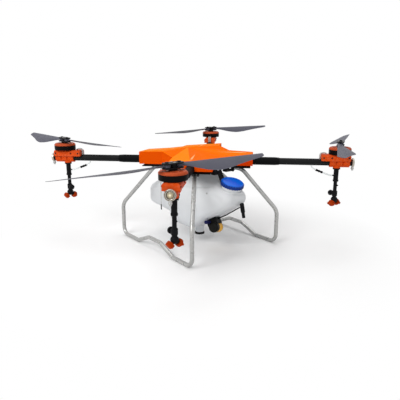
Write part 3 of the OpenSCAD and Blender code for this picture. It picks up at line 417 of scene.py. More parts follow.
def make_tank_plastic():
    """White blow-moulded wall, a little bluer and darker towards its floor, with its parting line, and painted
    light that lightens its shaded top.
    """
    low, high = (corner.z for corner in box_of("tank"))
    painted_light_from, painted_light_to = high - 130 * MM, high - 15 * MM
    parting_half = 1.4 * MM

    def paint(tree, coords, tone):
        depth = spread(tree, parts_of(tree, coords)["Z"], low, high, 0.55, 0.0)
        return blend_colours(tree, depth, tone, (0.6, 0.63, 0.68, 1))

    # Painted light: a faint emission that rises towards the top and lightens the shade under the cover
    def painted_light(tree, coords):
        rise = spread(tree, parts_of(tree, coords)["Z"], painted_light_from, painted_light_to)
        return blend_colours(tree, rise, (0, 0, 0, 1), (0.12, 0.124, 0.128, 1))

    def relief(tree, coords, height):
        off = maths(tree, "ABSOLUTE", parts_of(tree, coords)["X"])
        parting = times(tree, spread(tree, off, 0.0, parting_half, 1.0, 0.0), 6.0)
        waviness = times(tree, noise(tree, coords, 9.0, 2.0, 0.5), 14.0)
        return maths(tree, "ADD", maths(tree, "ADD", height, parting), waviness)

    return finish("white tank plastic", (0.7, 0.71, 0.715), shade=0.94, drift=(4, 0.4), smooth=0.34,
                  rough=0.46, grain=(700, 0.08 * MM), dust=0.01, shine=0.15, paint=paint, relief=relief,
                  painted_light=painted_light,
                  extra={"Subsurface Weight": 0.2, "Subsurface Scale": 0.01, "Subsurface Radius": (1, 1, 1)})


def from_arm_axis(tree, coords):
    """Distance from the axis of the nearest arm."""
    parts = parts_of(tree, coords)
    sides = [maths(tree, "ABSOLUTE", parts[axis]) for axis in ("X", "Y")]
    across = times(tree, maths(tree, "SUBTRACT", *sides), sqrt(0.5))
    rise = maths(tree, "SUBTRACT", parts["Z"], ARM_Z)
    squares = [maths(tree, "POWER", value, 2.0) for value in (across, rise)]
    return maths(tree, "SQRT", maths(tree, "ADD", *squares))


def make_lamp_glass():
    """Lens with the rings of its reflector behind it."""
    ring_step = 3.2 * MM

    def paint(tree, coords, tone):
        off = from_arm_axis(tree, coords)
        wave = maths(tree, "SINE", times(tree, off, 2 * pi / ring_step))
        ringed = blend_colours(
            tree, times(tree, spread(tree, wave, -1.0, 1.0), 0.7), tone, (0.2, 0.14, 0.06, 1))
        chip = spread(tree, off, 2.5 * MM, 4.5 * MM, 1.0, 0.0)
        return blend_colours(tree, chip, ringed, (0.95, 0.86, 0.6, 1))

    return finish("lamp glass", (0.62, 0.54, 0.36), shade=0.8, drift=(160, 0.5), smooth=0.06, rough=0.14,
                  grain=(300, 0.06 * MM), dust=0, coat=0.3, paint=paint, extra={"Transmission Weight": 0.1})


def make_lamp_metal():
    """Turned ring with dark grooves."""
    grooves_at = (11.2 * MM, 15.2 * MM)

    def paint(tree, coords, tone):
        off = from_arm_axis(tree, coords)
        for radius in grooves_at:
            aside = maths(tree, "ABSOLUTE", maths(tree, "SUBTRACT", off, radius))
            groove = spread(tree, aside, 0.5 * MM, 1.1 * MM, 1.0, 0.0)
            tone = blend_colours(tree, groove, tone, (0.03, 0.025, 0.02, 1))
        return tone

    return finish("turned lamp metal", (0.5, 0.46, 0.39), shade=0.5, drift=(40, 0.4), smooth=0.18, rough=0.32,
                  grain=(2400, 0.02 * MM), dust=0, metal=0.85, paint=paint)


# The pump lies across the slope under the tank's rear, turned by this much
PUMP_TURN = radians(26)
SLOPE = Vector((0, -0.847, 0.531))
PUMP_AXIS = -(Vector((1, 0, 0)) * cos(PUMP_TURN) - SLOPE * sin(PUMP_TURN))
PUMP_MIDDLE = sum(box_of("pump_motor"), Vector()) / 2
HEAD_MIDDLE = sum(box_of("pump_bracket"), Vector()) / 2
# Where the head's port starts, and the gold band's place and half width on the can
PORT_FROM = 22.5 * MM
BAND_BACK, BAND_HALF = 8 * MM, 14 * MM
# Height of the neck bracket's white collar over the foot of the neck
COLLAR_H = 4.7 * MM


def two_tone(name, colour, axis, start, other, **settings):
    """Moulded plastic that has another colour past a point along an axis."""

    def paint(tree, coords, tone):
        past = maths(tree, "GREATER_THAN", dot_product(tree, coords, axis), axis.dot(start))
        return blend_colours(tree, past, tone, (*other, 1))

    return finish(name, colour, shade=0.7, drift=(24, 0.4), smooth=0.4, rough=0.6, grain=(800, 0.06 * MM),
                  paint=paint, **settings)


def make_pump_enamel():
    """Black can with a gold band."""
    band_at = PUMP_AXIS.dot(PUMP_MIDDLE) - BAND_BACK

    def paint(tree, coords, tone):
        off = maths(tree, "SUBTRACT", dot_product(tree, coords, PUMP_AXIS), band_at)
        band = maths(tree, "LESS_THAN", maths(tree, "ABSOLUTE", off), BAND_HALF)
        return blend_colours(tree, band, tone, (0.85, 0.44, 0.05, 1))

    return finish("pump enamel", (0.009, 0.009, 0.008), shade=0.6, drift=(40, 0.4), smooth=0.22, rough=0.36,
                  grain=(1500, 0.02 * MM), dust=0, shine=0.07, paint=paint)


BLACK_PLASTIC = finish(
    "black moulded plastic", (0.007, 0.007, 0.008), shade=0.6, drift=(24, 0.4), smooth=0.42, rough=0.6,
    grain=(800, 0.06 * MM), wear=((0.05, 0.05, 0.05), 0.4), dust=0, shine=0.06)
HUB_BLACK = finish(
    "black anodised hub", (0.007, 0.007, 0.008), shade=0.6, drift=(30, 0.3), smooth=0.34, rough=0.48,
    grain=(2600, 0.01 * MM), wear=((0.14, 0.14, 0.14), 0.4), dust=0, shine=0.06)
BLADE_GREY = finish(
    "blade composite", (0.082, 0.082, 0.108), shade=0.75, drift=(7, 0.4), smooth=0.36, rough=0.5,
    grain=(1500, 0.02 * MM), wear=((0.2, 0.2, 0.22), 0.3), dust=0, shine=0.06)
SKID_METAL = finish(
    "drawn aluminium", (0.44, 0.44, 0.43), shade=0.7, drift=(26, 0.25), smooth=0.22, rough=0.38,
    grain=(1900, 0.02 * MM), dust=0.01, metal=0.7)
STEEL = finish(
    "plated steel", (0.5, 0.5, 0.49), shade=0.7, drift=(50, 0.4), smooth=0.2, rough=0.38,
    grain=(2400, 0.01 * MM), dust=0.02, metal=0.9)
NOZZLE_ORANGE = finish(
    "orange nozzle plastic", (0.4, 0.037, 0.002), shade=0.75, drift=(30, 0.35), smooth=0.36, rough=0.5,
    grain=(1200, 0.04 * MM), dust=0, shine=0.05)
TANK_WHITE = make_tank_plastic()
CLEAR_HOSE = finish(
    "clear hose", (0.86, 0.9, 0.9), shade=0.85, drift=(60, 0.3), smooth=0.08, rough=0.16,
    grain=(500, 0.02 * MM), dust=0, shine=0.5, extra={"Transmission Weight": 0.75, "IOR": 1.4})
LEAD_SLEEVE = finish(
    "pale lead sleeve", (0.62, 0.62, 0.6), shade=0.6, drift=(90, 0.5), smooth=0.2, rough=0.34,
    grain=(1500, 0.03 * MM), extra={"Transmission Weight": 0.3})
NYLON = finish(
    "white nylon", (0.8, 0.8, 0.78), shade=0.85, drift=(60, 0.3), smooth=0.35, rough=0.5,
    grain=(1500, 0.03 * MM))

FINISH_OF = {
    "orange_shell": make_shell_plastic(),
    "orange_metal": finish(
        "orange anodised metal", (0.66, 0.066, 0.004), shade=0.75, drift=(14, 0.35), smooth=0.36, rough=0.5,
        grain=(2200, 0.02 * MM), wear=((0.7, 0.35, 0.2), 0.35), dust=0, shine=0.05),
    "carbon": finish(
        "woven carbon tube", (0.009, 0.0095, 0.01), shade=0.7, drift=(20, 0.4), smooth=0.38, rough=0.52,
        grain=(1200, 0.04 * MM), dust=0, shine=0.05, paint=twill_paint, relief=twill_relief),
    "sleeve_black": finish(
        "black sleeve", (0.005, 0.0055, 0.006), shade=0.7, drift=(16, 0.4), smooth=0.48, rough=0.64,
        grain=(700, 0.06 * MM), dust=0, shine=0.03),
    "black_plastic": BLACK_PLASTIC,
    "bell_black": finish(
        "black anodised bell", (0.004, 0.0035, 0.0035), shade=0.6, drift=(30, 0.3), smooth=0.32, rough=0.46,
        grain=(2600, 0.01 * MM), wear=((0.12, 0.07, 0.05), 0.3), dust=0, shine=0.04, paint=bell_paint),
    "windings": finish(
        "varnished copper", (0.42, 0.13, 0.045), shade=0.5, drift=(60, 0.5), smooth=0.25, rough=0.4,
        grain=(1800, 0.06 * MM), metal=0.7),
    "hub_black": HUB_BLACK,
    "blade_grey": BLADE_GREY,
    "lamp_metal": make_lamp_metal(),
    "lamp_lens": make_lamp_glass(),
    "skid_metal": SKID_METAL,
    "hose_clear": CLEAR_HOSE,
    "tank_white": TANK_WHITE,
    "cap_blue": finish(
        "blue moulded cap", (0.001, 0.125, 0.72), shade=0.75, drift=(18, 0.3), smooth=0.1, rough=0.2,
        grain=(1200, 0.02 * MM), dust=0, shine=0.22, paint=cap_side_shade),
    "nozzle_orange": NOZZLE_ORANGE,
    "seal_rubber": finish(
        "seal rubber", (0.02, 0.02, 0.02), shade=0.7, drift=(40, 0.3), smooth=0.6, rough=0.8,
        grain=(900, 0.05 * MM), shine=0.1),
    "pump_can": make_pump_enamel(),
    "board_green": finish(
        "lacquered board", (0.02, 0.13, 0.05), shade=0.6, drift=(90, 0.5), smooth=0.3, rough=0.45,
        grain=(900, 0.04 * MM)),
}
# Solids in two colours
OWN_FINISH = {
    "pump_head": two_tone(
        "pump head plastic", (0.008, 0.008, 0.008), PUMP_AXIS, HEAD_MIDDLE + PUMP_AXIS * PORT_FROM,
        (0.012, 0.014, 0.07), dust=0, shine=0.05),
    "neck_bracket": two_tone(
        "neck bracket plastic", (0.7, 0.71, 0.715), NECK_AXIS, NECK_AT + NECK_AXIS * COLLAR_H,
        (0.008, 0.008, 0.009), shine=0.1),
}


# Making of pieces

# Points nearer than this are one, in a mesh made here and in a solid's
SAME_POINT, SAME_SOLID_POINT = 1e-7, 0.01 * MM
EDGE_ANGLE = radians(30)


def place_piece(obj, body, slot, *replaced):
    """Rides a piece on a body and hides the nodes that it stands for. slot is not used."""
    if replaced:
        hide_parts(*replaced)
    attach(obj, body)
    return obj


def mesh_piece(name, bm, material, smooth_angle=35):
    mesh = bpy.data.meshes.new(name)
    bm.to_mesh(mesh)
    bm.free()
    mesh.materials.append(material)
    mesh.shade_smooth()
    mesh.set_sharp_from_angle(angle=radians(smooth_angle))
    return link(bpy.data.objects.new(name, mesh))


def round_edges(obj, width):
    bevel = obj.modifiers.new("rounded edges", "BEVEL")
    bevel.width = width
    bevel.segments = 2
    bevel.limit_method = "ANGLE"
    bevel.angle_limit = EDGE_ANGLE
    bevel.use_clamp_overlap = True
    bevel.harden_normals = True
    return obj


def merged_copy(node):
    """A solid's mesh with its loose triangles joined."""
    bm = bmesh.new()
    bm.from_mesh(NODES[node].data)
    bmesh.ops.remove_doubles(bm, verts=bm.verts, dist=SAME_SOLID_POINT)
    return bm


def dress(node, edge, smooth_angle=35, flatten=True):
    """Copy of a solid with rounded edges, in its own finish, which replaces the plain solid."""
    bm = merged_copy(node)
    if flatten:
        bmesh.ops.dissolve_limit(bm, angle_limit=radians(0.5), verts=bm.verts, edges=bm.edges)
    slot = SLOT_OF[node]
    obj = mesh_piece(node + "_finished", bm, OWN_FINISH.get(node, FINISH_OF[slot]), smooth_angle)
    return place_piece(round_edges(obj, edge), BODY_OF[node], slot, node)


def rounded(profile, radius, steps=4):
    """Open profile with its corners rounded."""
    out = [Vector(profile[0])]
    for before, corner, after in zip(profile, profile[1:], profile[2:]):
        p, q, s = Vector(before), Vector(corner), Vector(after)
        reach = min(radius, 0.45 * (q - p).length, 0.45 * (s - q).length)
        start, end = q + (p - q).normalized() * reach, q + (s - q).normalized() * reach
        for i in range(steps + 1):
            t = i / steps
            out.append(start * (1 - t) ** 2 + q * 2 * t * (1 - t) + end * t ** 2)
    out.append(Vector(profile[-1]))
    return out


def profile_mm(points, corner):
    """Rounded profile from (radius, height) pairs in millimetres."""
    return rounded([(r * MM, z * MM) for r, z in points], corner * MM)


def round_the_axis(count):
    """Angles of points evenly round an axis."""
    return [2 * pi * k / count for k in range(count)]


def join_rings(bm, rings):
    """Faces between neighbouring rings of equally many points."""
    for one, two in zip(rings, rings[1:]):
        for k in range(len(one)):
            j = (k + 1) % len(one)
            bm.faces.new((one[k], one[j], two[j], two[k]))


def close_up(bm):
    """Merges doubled points and turns the faces outwards."""
    bmesh.ops.remove_doubles(bm, verts=bm.verts, dist=SAME_POINT)
    bmesh.ops.recalc_face_normals(bm, faces=bm.faces)


def lathe(bm, profile, place, segments=48):
    """Turns a profile of (radius, height) round the local Z of place. A radius of nought closes it."""
    rings = []
    for r, z in profile:
        if r < SAME_POINT:
            rings.append([bm.verts.new(place @ Vector((0, 0, z)))])
        else:
            rings.append([
                bm.verts.new(place @ Vector((r * cos(a), r * sin(a), z))) for a in round_the_axis(segments)
            ])
    for one, two in zip(rings, rings[1:]):
        for k in range(segments):
            j = (k + 1) % segments
            corners = [one[k % len(one)], one[j % len(one)], two[j % len(two)], two[k % len(two)]]
            bm.faces.new(list(dict.fromkeys(corners)))


def turned_piece(name, profile, place, material, segments=48, smooth_angle=40):
    bm = bmesh.new()
    lathe(bm, profile, place, segments)
    close_up(bm)
    return mesh_piece(name, bm, material, smooth_angle)


def sweep(bm, path, radius, sides, aside):
    """Round rod along a path, closed at its ends. aside is never along the path."""
    rings = []
    last = len(path) - 1
    for i, p in enumerate(path):
        t = Vector((0, 0, 0))
        if i < last:
            t += (path[i + 1] - p).normalized()
        if i > 0:
            t += (p - path[i - 1]).normalized()
        t.normalize()
        n = (aside - t * aside.dot(t)).normalized()
        m = t.cross(n)
        rings.append([
            bm.verts.new(p + radius * (cos(a) * n + sin(a) * m)) for a in round_the_axis(sides)
        ])
    join_rings(bm, rings)
    bm.faces.new(list(reversed(rings[0])))
    bm.faces.new(rings[-1])


def bend_points(p, q, s, bend, steps):
    """Points round the bend at q between the straights from p and to s."""
    u, v = (q - p).normalized(), (s - q).normalized()
    turn = u.angle(v)
    inward = u.cross(v).normalized().cross(u)
    start = q - u * bend * tan(turn / 2)
    return [
        start + bend * (inward * (1 - cos(turn * k / steps)) + u * sin(turn * k / steps))
        for k in range(steps + 1)
    ]


def bent_path(path, bends, steps=14):
    out = [path[0]]
    for i in range(1, len(path) - 1):
        out += bend_points(path[i - 1], path[i], path[i + 1], bends[i], steps)
    return out + [path[-1]]


def smooth_route(points, per_span):
    """Catmull-Rom curve through the points."""
    ends = [points[0] * 2 - points[1]] + list(points) + [points[-1] * 2 - points[-2]]
    out = []
    for a, b, c, d in zip(ends, ends[1:], ends[2:], ends[3:]):
        for i in range(per_span):
            t = i / per_span
            out.append(0.5 * (2 * b + (c - a) * t + (2 * a - 5 * b + 4 * c - d) * t ** 2
                              + (3 * b - a - 3 * c + d) * t ** 3))
    return out + [points[-1]]


# Hoses from the arm tubes to the lances

# Distance from the motor axis towards the centre and height from the arm axis, in millimetres
HOSE_ROUTE = ((113, -13), (110, -20), (104, -27), (94, -32.5), (80, -38), (64, -44), (50, -49), (38, -53),
              (30, -55), (24, -55))
HOSE_D = 6 * MM
# The joiner lies midway between these two points of the route
CONNECTOR_SPAN = (3, 5)
CONNECTOR_L, CONNECTOR_R = 30 * MM, 4.75 * MM


def cord_curve(name, points, radius, material):
    curve = bpy.data.curves.new(name, "CURVE")
    curve.dimensions = "3D"
    curve.bevel_depth = radius
    curve.bevel_resolution = 5
    curve.use_fill_caps = True
    curve.materials.append(material)
    spline = curve.splines.new("POLY")
    spline.points.add(len(points) - 1)
    for point, place in zip(spline.points, points):
        point.co = (*place, 1)
    spline.use_smooth = True
    return link(bpy.data.objects.new(name, curve))


def make_hose(arm):
    knots = [arm_point(arm, -d * MM, h * MM) for d, h in HOSE_ROUTE]
    first, last = knots[CONNECTOR_SPAN[0]], knots[CONNECTOR_SPAN[1]]
    u = (last - first).normalized()
    half = CONNECTOR_L / 2
    neck, waist, collar = HOSE_D / 2 + 0.5 * MM, CONNECTOR_R * 0.86, CONNECTOR_R * 1.12
    lower = [(neck, -half), (CONNECTOR_R, -half), (CONNECTOR_R, -half * 0.62), (waist, -half * 0.55),
             (waist, -2 * MM), (collar, -1.6 * MM)]
    profile = lower + [(r, -z) for r, z in reversed(lower)]
    connector = turned_piece(arm + "_hose_joiner", rounded(profile, 0.5 * MM) + [profile[0]],
                             along((first + last) / 2, u), BLACK_PLASTIC)
    place_piece(connector, "frame", "black_plastic", "hose_connectors")
    route = smooth_route(knots, 3)
    hose = cord_curve(arm + "_hose", route, HOSE_D / 2, CLEAR_HOSE)
    place_piece(hose, "frame", "hose_clear", "spray_hoses")


# Repeated small pieces, by geometry nodes


def points_tree(name, numbers):
    """Node tree that takes points facing their own way, and named sizes."""
    tree = bpy.data.node_groups.new(name, "GeometryNodeTree")
    tree.interface.new_socket("Geometry", in_out="INPUT", socket_type="NodeSocketGeometry")
    for label, kind, value in numbers:
        tree.interface.new_socket(label, in_out="INPUT", socket_type=kind).default_value = value
    tree.interface.new_socket("Material", in_out="INPUT", socket_type="NodeSocketMaterial")
    tree.interface.new_socket("Geometry", in_out="OUTPUT", socket_type="NodeSocketGeometry")
    return tree, add(tree, "NodeGroupInput"), add(tree, "NodeGroupOutput")


def cylinder_node(tree, sides, radius, depth):
    node = add(tree, "GeometryNodeMeshCylinder", fill_type="NGON")
    node.inputs["Vertices"].default_value = sides
    feed(tree, node.inputs["Radius"], radius)
    feed(tree, node.inputs["Depth"], depth)
    return node.outputs["Mesh"]


def moved_up(tree, geometry, height):
    vector = add(tree, "ShaderNodeCombineXYZ")
    feed(tree, vector.inputs["Z"], height)
    node = add(tree, "GeometryNodeTransform")
    tree.links.new(geometry, node.inputs["Geometry"])
    tree.links.new(vector.outputs[0], node.inputs["Translation"])
    return node.outputs[0]


def finish_points(tree, source, sink, shape):
    """Sets the shape at every point, turned the point's way, as one plain mesh in its material."""
    ways = add(tree, "GeometryNodeInputNamedAttribute", data_type="FLOAT_VECTOR")
    ways.inputs["Name"].default_value = "facing"
    turn = add(tree, "FunctionNodeAlignRotationToVector", axis="Z")
    tree.links.new(ways.outputs["Attribute"], turn.inputs["Vector"])
    spots = add(tree, "GeometryNodeInstanceOnPoints")
    tree.links.new(source.outputs["Geometry"], spots.inputs["Points"])
    tree.links.new(shape, spots.inputs["Instance"])
    tree.links.new(turn.outputs["Rotation"], spots.inputs["Rotation"])
    real = add(tree, "GeometryNodeRealizeInstances")
    tree.links.new(spots.outputs[0], real.inputs[0])
    coat = add(tree, "GeometryNodeSetMaterial")
    tree.links.new(real.outputs[0], coat.inputs["Geometry"])
    tree.links.new(source.outputs["Material"], coat.inputs["Material"])
    tree.links.new(coat.outputs[0], sink.inputs["Geometry"])
    return tree


def make_bolt_tree():
    tree, source, sink = points_tree("socket bolts", [
        ("Head Radius", "NodeSocketFloat", 2.5 * MM), ("Head Height", "NodeSocketFloat", 2 * MM)])
    radius, height = source.outputs["Head Radius"], source.outputs["Head Height"]
    head = moved_up(tree, cylinder_node(tree, 20, radius, height), times(tree, height, 0.5))
    key = moved_up(tree, cylinder_node(tree, 6, times(tree, radius, 0.5), height), height)
    cut = add(tree, "GeometryNodeMeshBoolean", operation="DIFFERENCE")
    tree.links.new(head, cut.inputs["Mesh 1"])
    tree.links.new(key, cut.inputs["Mesh 2"])
    washer = cylinder_node(tree, 24, times(tree, radius, 1.4), times(tree, height, 0.4))
    join = add(tree, "GeometryNodeJoinGeometry")
    tree.links.new(cut.outputs["Mesh"], join.inputs[0])
    tree.links.new(washer, join.inputs[0])
    return finish_points(tree, source, sink, join.outputs[0])


def make_rib_tree():
    tree, source, sink = points_tree("ring of ribs", [
        ("Count", "NodeSocketInt", 24), ("Ring Radius", "NodeSocketFloat", 10 * MM),
        ("Rib Radius", "NodeSocketFloat", 0.6 * MM), ("Rib Length", "NodeSocketFloat", 6 * MM)])
    length = source.outputs["Rib Length"]
    ring = add(tree, "GeometryNodeMeshCircle")
    tree.links.new(source.outputs["Count"], ring.inputs["Vertices"])
    tree.links.new(source.outputs["Ring Radius"], ring.inputs["Radius"])
    rod = cylinder_node(tree, 8, source.outputs["Rib Radius"], length)
    rib = moved_up(tree, rod, times(tree, length, 0.5))
    spots = add(tree, "GeometryNodeInstanceOnPoints")
    tree.links.new(ring.outputs["Mesh"], spots.inputs["Points"])
    tree.links.new(rib, spots.inputs["Instance"])
    real = add(tree, "GeometryNodeRealizeInstances")
    tree.links.new(spots.outputs[0], real.inputs[0])
    return finish_points(tree, source, sink, real.outputs[0])


BOLTS = make_bolt_tree()
RIBS = make_rib_tree()


def scatter(name, tree, places, body, slot, material, **sizes):
    """Plain mesh of a tree's shape at each (point, direction)."""
    seed = bpy.data.meshes.new(name + "_points")
    seed.from_pydata([tuple(p) for p, _ in places], [], [])
    ways = seed.attributes.new("facing", "FLOAT_VECTOR", "POINT")
    for item, (_, way) in zip(ways.data, places):
        item.vector = Vector(way).normalized()
    maker = link(bpy.data.objects.new(name + "_points", seed))
    modifier = maker.modifiers.new("pieces", "NODES")
    modifier.node_group = tree
    keys = {item.name: item.identifier for item in tree.interface.items_tree if item.in_out == "INPUT"}
    for label, value in sizes.items():
        modifier[keys[label.replace("_", " ")]] = value
    modifier[keys["Material"]] = material
    evaluated = maker.evaluated_get(bpy.context.evaluated_depsgraph_get())
    mesh = bpy.data.meshes.new_from_object(evaluated)
    bpy.data.objects.remove(maker)
    mesh.name = name
    mesh.shade_smooth()
    mesh.set_sharp_from_angle(angle=radians(40))
    return place_piece(link(bpy.data.objects.new(name, mesh)), body, slot)


# Blades

# The tip and the pin from the motor axis, and the start of the blade's sections from the pin
BLADE_TIP, PIN_AT, BLADE_NECK = 381 * MM, 22 * MM, 24 * MM
CHORD_ROOT, CHORD_MAX, CHORD_TIP = 20 * MM, 74 * MM, 12 * MM
PITCH_ROOT, PITCH_TIP = radians(24), radians(14)
THICK_ROOT, THICK_TIP = 8 * MM, 1.8 * MM
ROOT_R, ROOT_H = 11 * MM, 10 * MM
PIN_BORE = 3.05 * MM
# Share of the way at which the chord is widest
WIDEST = 0.27
# Share of the way from a blade's neck to its tip, then share of the widest chord
CHORD_SHARES = (
    (0, 0), (0.08, 0.4), (0.16, 0.78), (0.27, 1), (0.4, 0.93), (0.6, 0.66), (0.8, 0.42), (0.92, 0.28),
    (0.97, 0.16), (1, 0),
)
# Shares of the way over which the chord is smoothed, and between which the neck and the tip round off
CHORD_SMOOTHING = (-0.03, -0.015, 0, 0.015, 0.03)
NECK_END, TIP_START = 0.1, 0.97
# The neck's inner end, in the root: distance from the pin and half sizes
NECK_FROM, NECK_HALF_W, NECK_HALF_H = 4 * MM, 7 * MM, 3.2 * MM
BLADE_STATIONS, BLADE_POINTS = 54, 28


def chord_share(s):
    """Share of the widest chord, straight between the listed places."""
    for (s0, c0), (s1, c1) in zip(CHORD_SHARES, CHORD_SHARES[1:]):
        if s <= s1:
            return c0 + (c1 - c0) * ((s - s0) / (s1 - s0))
    return 0.0


def blade_section(s):
    """Closed section at a share of the way from neck to tip: (across, up) pairs, leading edge first."""
    edge = CHORD_ROOT if s < WIDEST else CHORD_TIP
    share = sum(chord_share(min(max(s + w, 0), 1)) for w in CHORD_SMOOTHING) / len(CHORD_SMOOTHING)
    chord = edge + (CHORD_MAX - edge) * share
    if s > TIP_START:
        chord *= max(0.25, sqrt(max(0.0, 1 - ((s - TIP_START) / (1 - TIP_START)) ** 2)))
    pitch = PITCH_ROOT + (PITCH_TIP - PITCH_ROOT) * sqrt(s)
    thick = THICK_ROOT + (THICK_TIP - THICK_ROOT) * s ** 0.7
    lead = CHORD_ROOT / 2 * (1 - 0.5 * s * s)
    blunt = max(0.0, 1 - s / NECK_END)
    out = []
    for a in round_the_axis(BLADE_POINTS):
        c = (1 - cos(a)) / 2
        wing = 2.6 * (0.2969 * sqrt(c) - 0.126 * c - 0.3516 * c ** 2 + 0.2843 * c ** 3 - 0.1 * c ** 4)
        oval = sin(a % pi) / 2 if a % pi else 0.0
        half = (wing * (1 - blunt) * 0.95 + oval * blunt) * 0.62
        camber = 0.28 * sin(pi * c) * (1 - blunt)
        z = thick * (camber + half if a <= pi else camber - half)
        y = lead - chord * c
        out.append((y * cos(pitch) - z * sin(pitch), y * sin(pitch) + z * cos(pitch)))
    return out


def make_blade(arm, side):
    joint = JOINTS[f"{arm}_blade_{side}_fold"]
    pin = Vector(joint["pos_m"])
    rest = -sum(joint["range_deg"]) / 2
    reach = pin - ROTOR_AT[arm]
    heading = atan2(reach.y, reach.x) + radians(rest)
    hand = 1 if arm in ("rear_left", "front_right") else -1
    place = Matrix.Translation(pin) @ Matrix.Rotation(heading, 4, "Z")
    span = BLADE_TIP - PIN_AT - BLADE_NECK
    bm = bmesh.new()

    def corner(x, y, z):
        return bm.verts.new(place @ Vector((x, y * hand, ROOT_H / 2 + z)))

    rings = []
    for i in range(BLADE_STATIONS + 1):
        s = i / BLADE_STATIONS
        rings.append([corner(BLADE_NECK + span * s, y, z) for y, z in blade_section(s)])
    rings.insert(0, [
        corner(NECK_FROM, NECK_HALF_W * cos(a), NECK_HALF_H * sin(a)) for a in round_the_axis(BLADE_POINTS)
    ])
    join_rings(bm, rings)
    bm.faces.new(rings[0])
    bm.faces.new(rings[-1])
    root = rounded([(PIN_BORE, 0), (ROOT_R, 0), (ROOT_R, ROOT_H), (PIN_BORE, ROOT_H)], 1 * MM)
    lathe(bm, root + [root[0]], place)
    close_up(bm)
    node = f"{arm}_blade_{side}"
    place_piece(mesh_piece(node + "_skin", bm, BLADE_GREY, 50), node, "blade_grey", node)


# Skids

SKID_R = 8.5 * MM
# The rail across from the centre and the legs along it, then the inner end and the knee of the upper part
SKID_TRACK, SKID_BASE = 228 * MM, 258 * MM
SKID_ROOT, SKID_KNEE = 118 * MM, 188 * MM
SKID_ELBOW_Z = 150 * MM
# Half lengths between the feet and of the raised middle, and the height of that middle
FOOT_Y, HUMP_Y, HUMP_H = 134 * MM, 43 * MM, 37 * MM
# Bend radius at each point of half a skid
SKID_BENDS = (0, 55 * MM, 60 * MM, 34 * MM, 45 * MM, 45 * MM)


def make_skid(side, sign):
    node = side + "_skid"
    stub_z = box_of(node)[1].z - SKID_R
    heading = atan2(SKID_BASE, SKID_TRACK)

    def half(way):
        return [
            Vector((SKID_ROOT * cos(heading) * sign, way * SKID_ROOT * sin(heading), stub_z)),
            Vector((SKID_KNEE * cos(heading) * sign, way * SKID_KNEE * sin(heading), stub_z)),
            Vector((SKID_TRACK * sign, way * SKID_BASE, SKID_ELBOW_Z)),
            Vector((SKID_TRACK * sign, way * SKID_BASE, SKID_R)),
            Vector((SKID_TRACK * sign, way * FOOT_Y, SKID_R)),
            Vector((SKID_TRACK * sign, way * HUMP_Y, SKID_R + HUMP_H)),
        ]

    path = half(-1) + half(1)[::-1]
    bends = SKID_BENDS + SKID_BENDS[::-1]
    bm = bmesh.new()
    sweep(bm, bent_path(path, bends), SKID_R, 32, Vector((1, 0, 0)))
    bmesh.ops.recalc_face_normals(bm, faces=bm.faces)
    place_piece(mesh_piece(node + "_tube", bm, SKID_METAL), "frame", "skid_metal", node)


# Tank

TANK_ROUND, NOSE_ROUND = 35 * MM, 28 * MM
TANK_HALF, TANK_WALL, TANK_H = 100 * MM, 3 * MM, 237 * MM
# Saddles between the lower plate and the tank's top
SADDLE_H = 30 * MM
# Ends of the top and of the floor along the tank, and how much narrower the floor is
TOP_FRONT, TOP_REAR = 85 * MM, -70 * MM
FLOOR_FRONT, FLOOR_REAR, FLOOR_IN = 78 * MM, -25 * MM, 14 * MM
# The shoulder that slopes from the top's rear end to the neck
SHOULDER_L, SHOULDER_IN = 158 * MM, 36 * MM
# The nose: its front end, and its upper and lower edge below the tank's top
NOSE_END, NOSE_UPPER, NOSE_LOWER, CHIN_DROP = 250 * MM, 76 * MM, 175 * MM, 22 * MM
# Depth by which the nose runs into the body
NOSE_INSET = 5 * MM
# Size of the tank's even faces
EVEN_FACE = 3.5 * MM

NECK_R, NECK_BORE, NECK_H = 40 * MM, 35 * MM, 26 * MM
NECK_FOOT, NECK_FLARE = 5 * MM, 5 * MM
THREAD_TURNS, THREAD_FROM, THREAD_STEP = 2, 10 * MM, 6 * MM
MOUTH_R, MOUTH_DEPTH = NECK_BORE + 2 * MM, 12 * MM

# The step moulded along the tank's sides, from the top of its nose up to its shoulder, clear of the neck
STEP_FOOT, STEP_SLOPE = Vector((0, -6 * MM, 250 * MM)), 0.162
STEP_DEPTH, STEP_RAMP, STEP_FROM_NECK = 3.2 * MM, 2 * MM, 70 * MM

# Turned profiles: radius and height, in millimetres
VENT_SCREW = ((0, 3), (3, 3), (3.5, -1), (0, -1))
SUMP = ((0, 0), (19, 0), (19, 24), (27, 34), (0, 38))
VENT_SCREW_AT = Vector((-200, -160, 252)) * MM


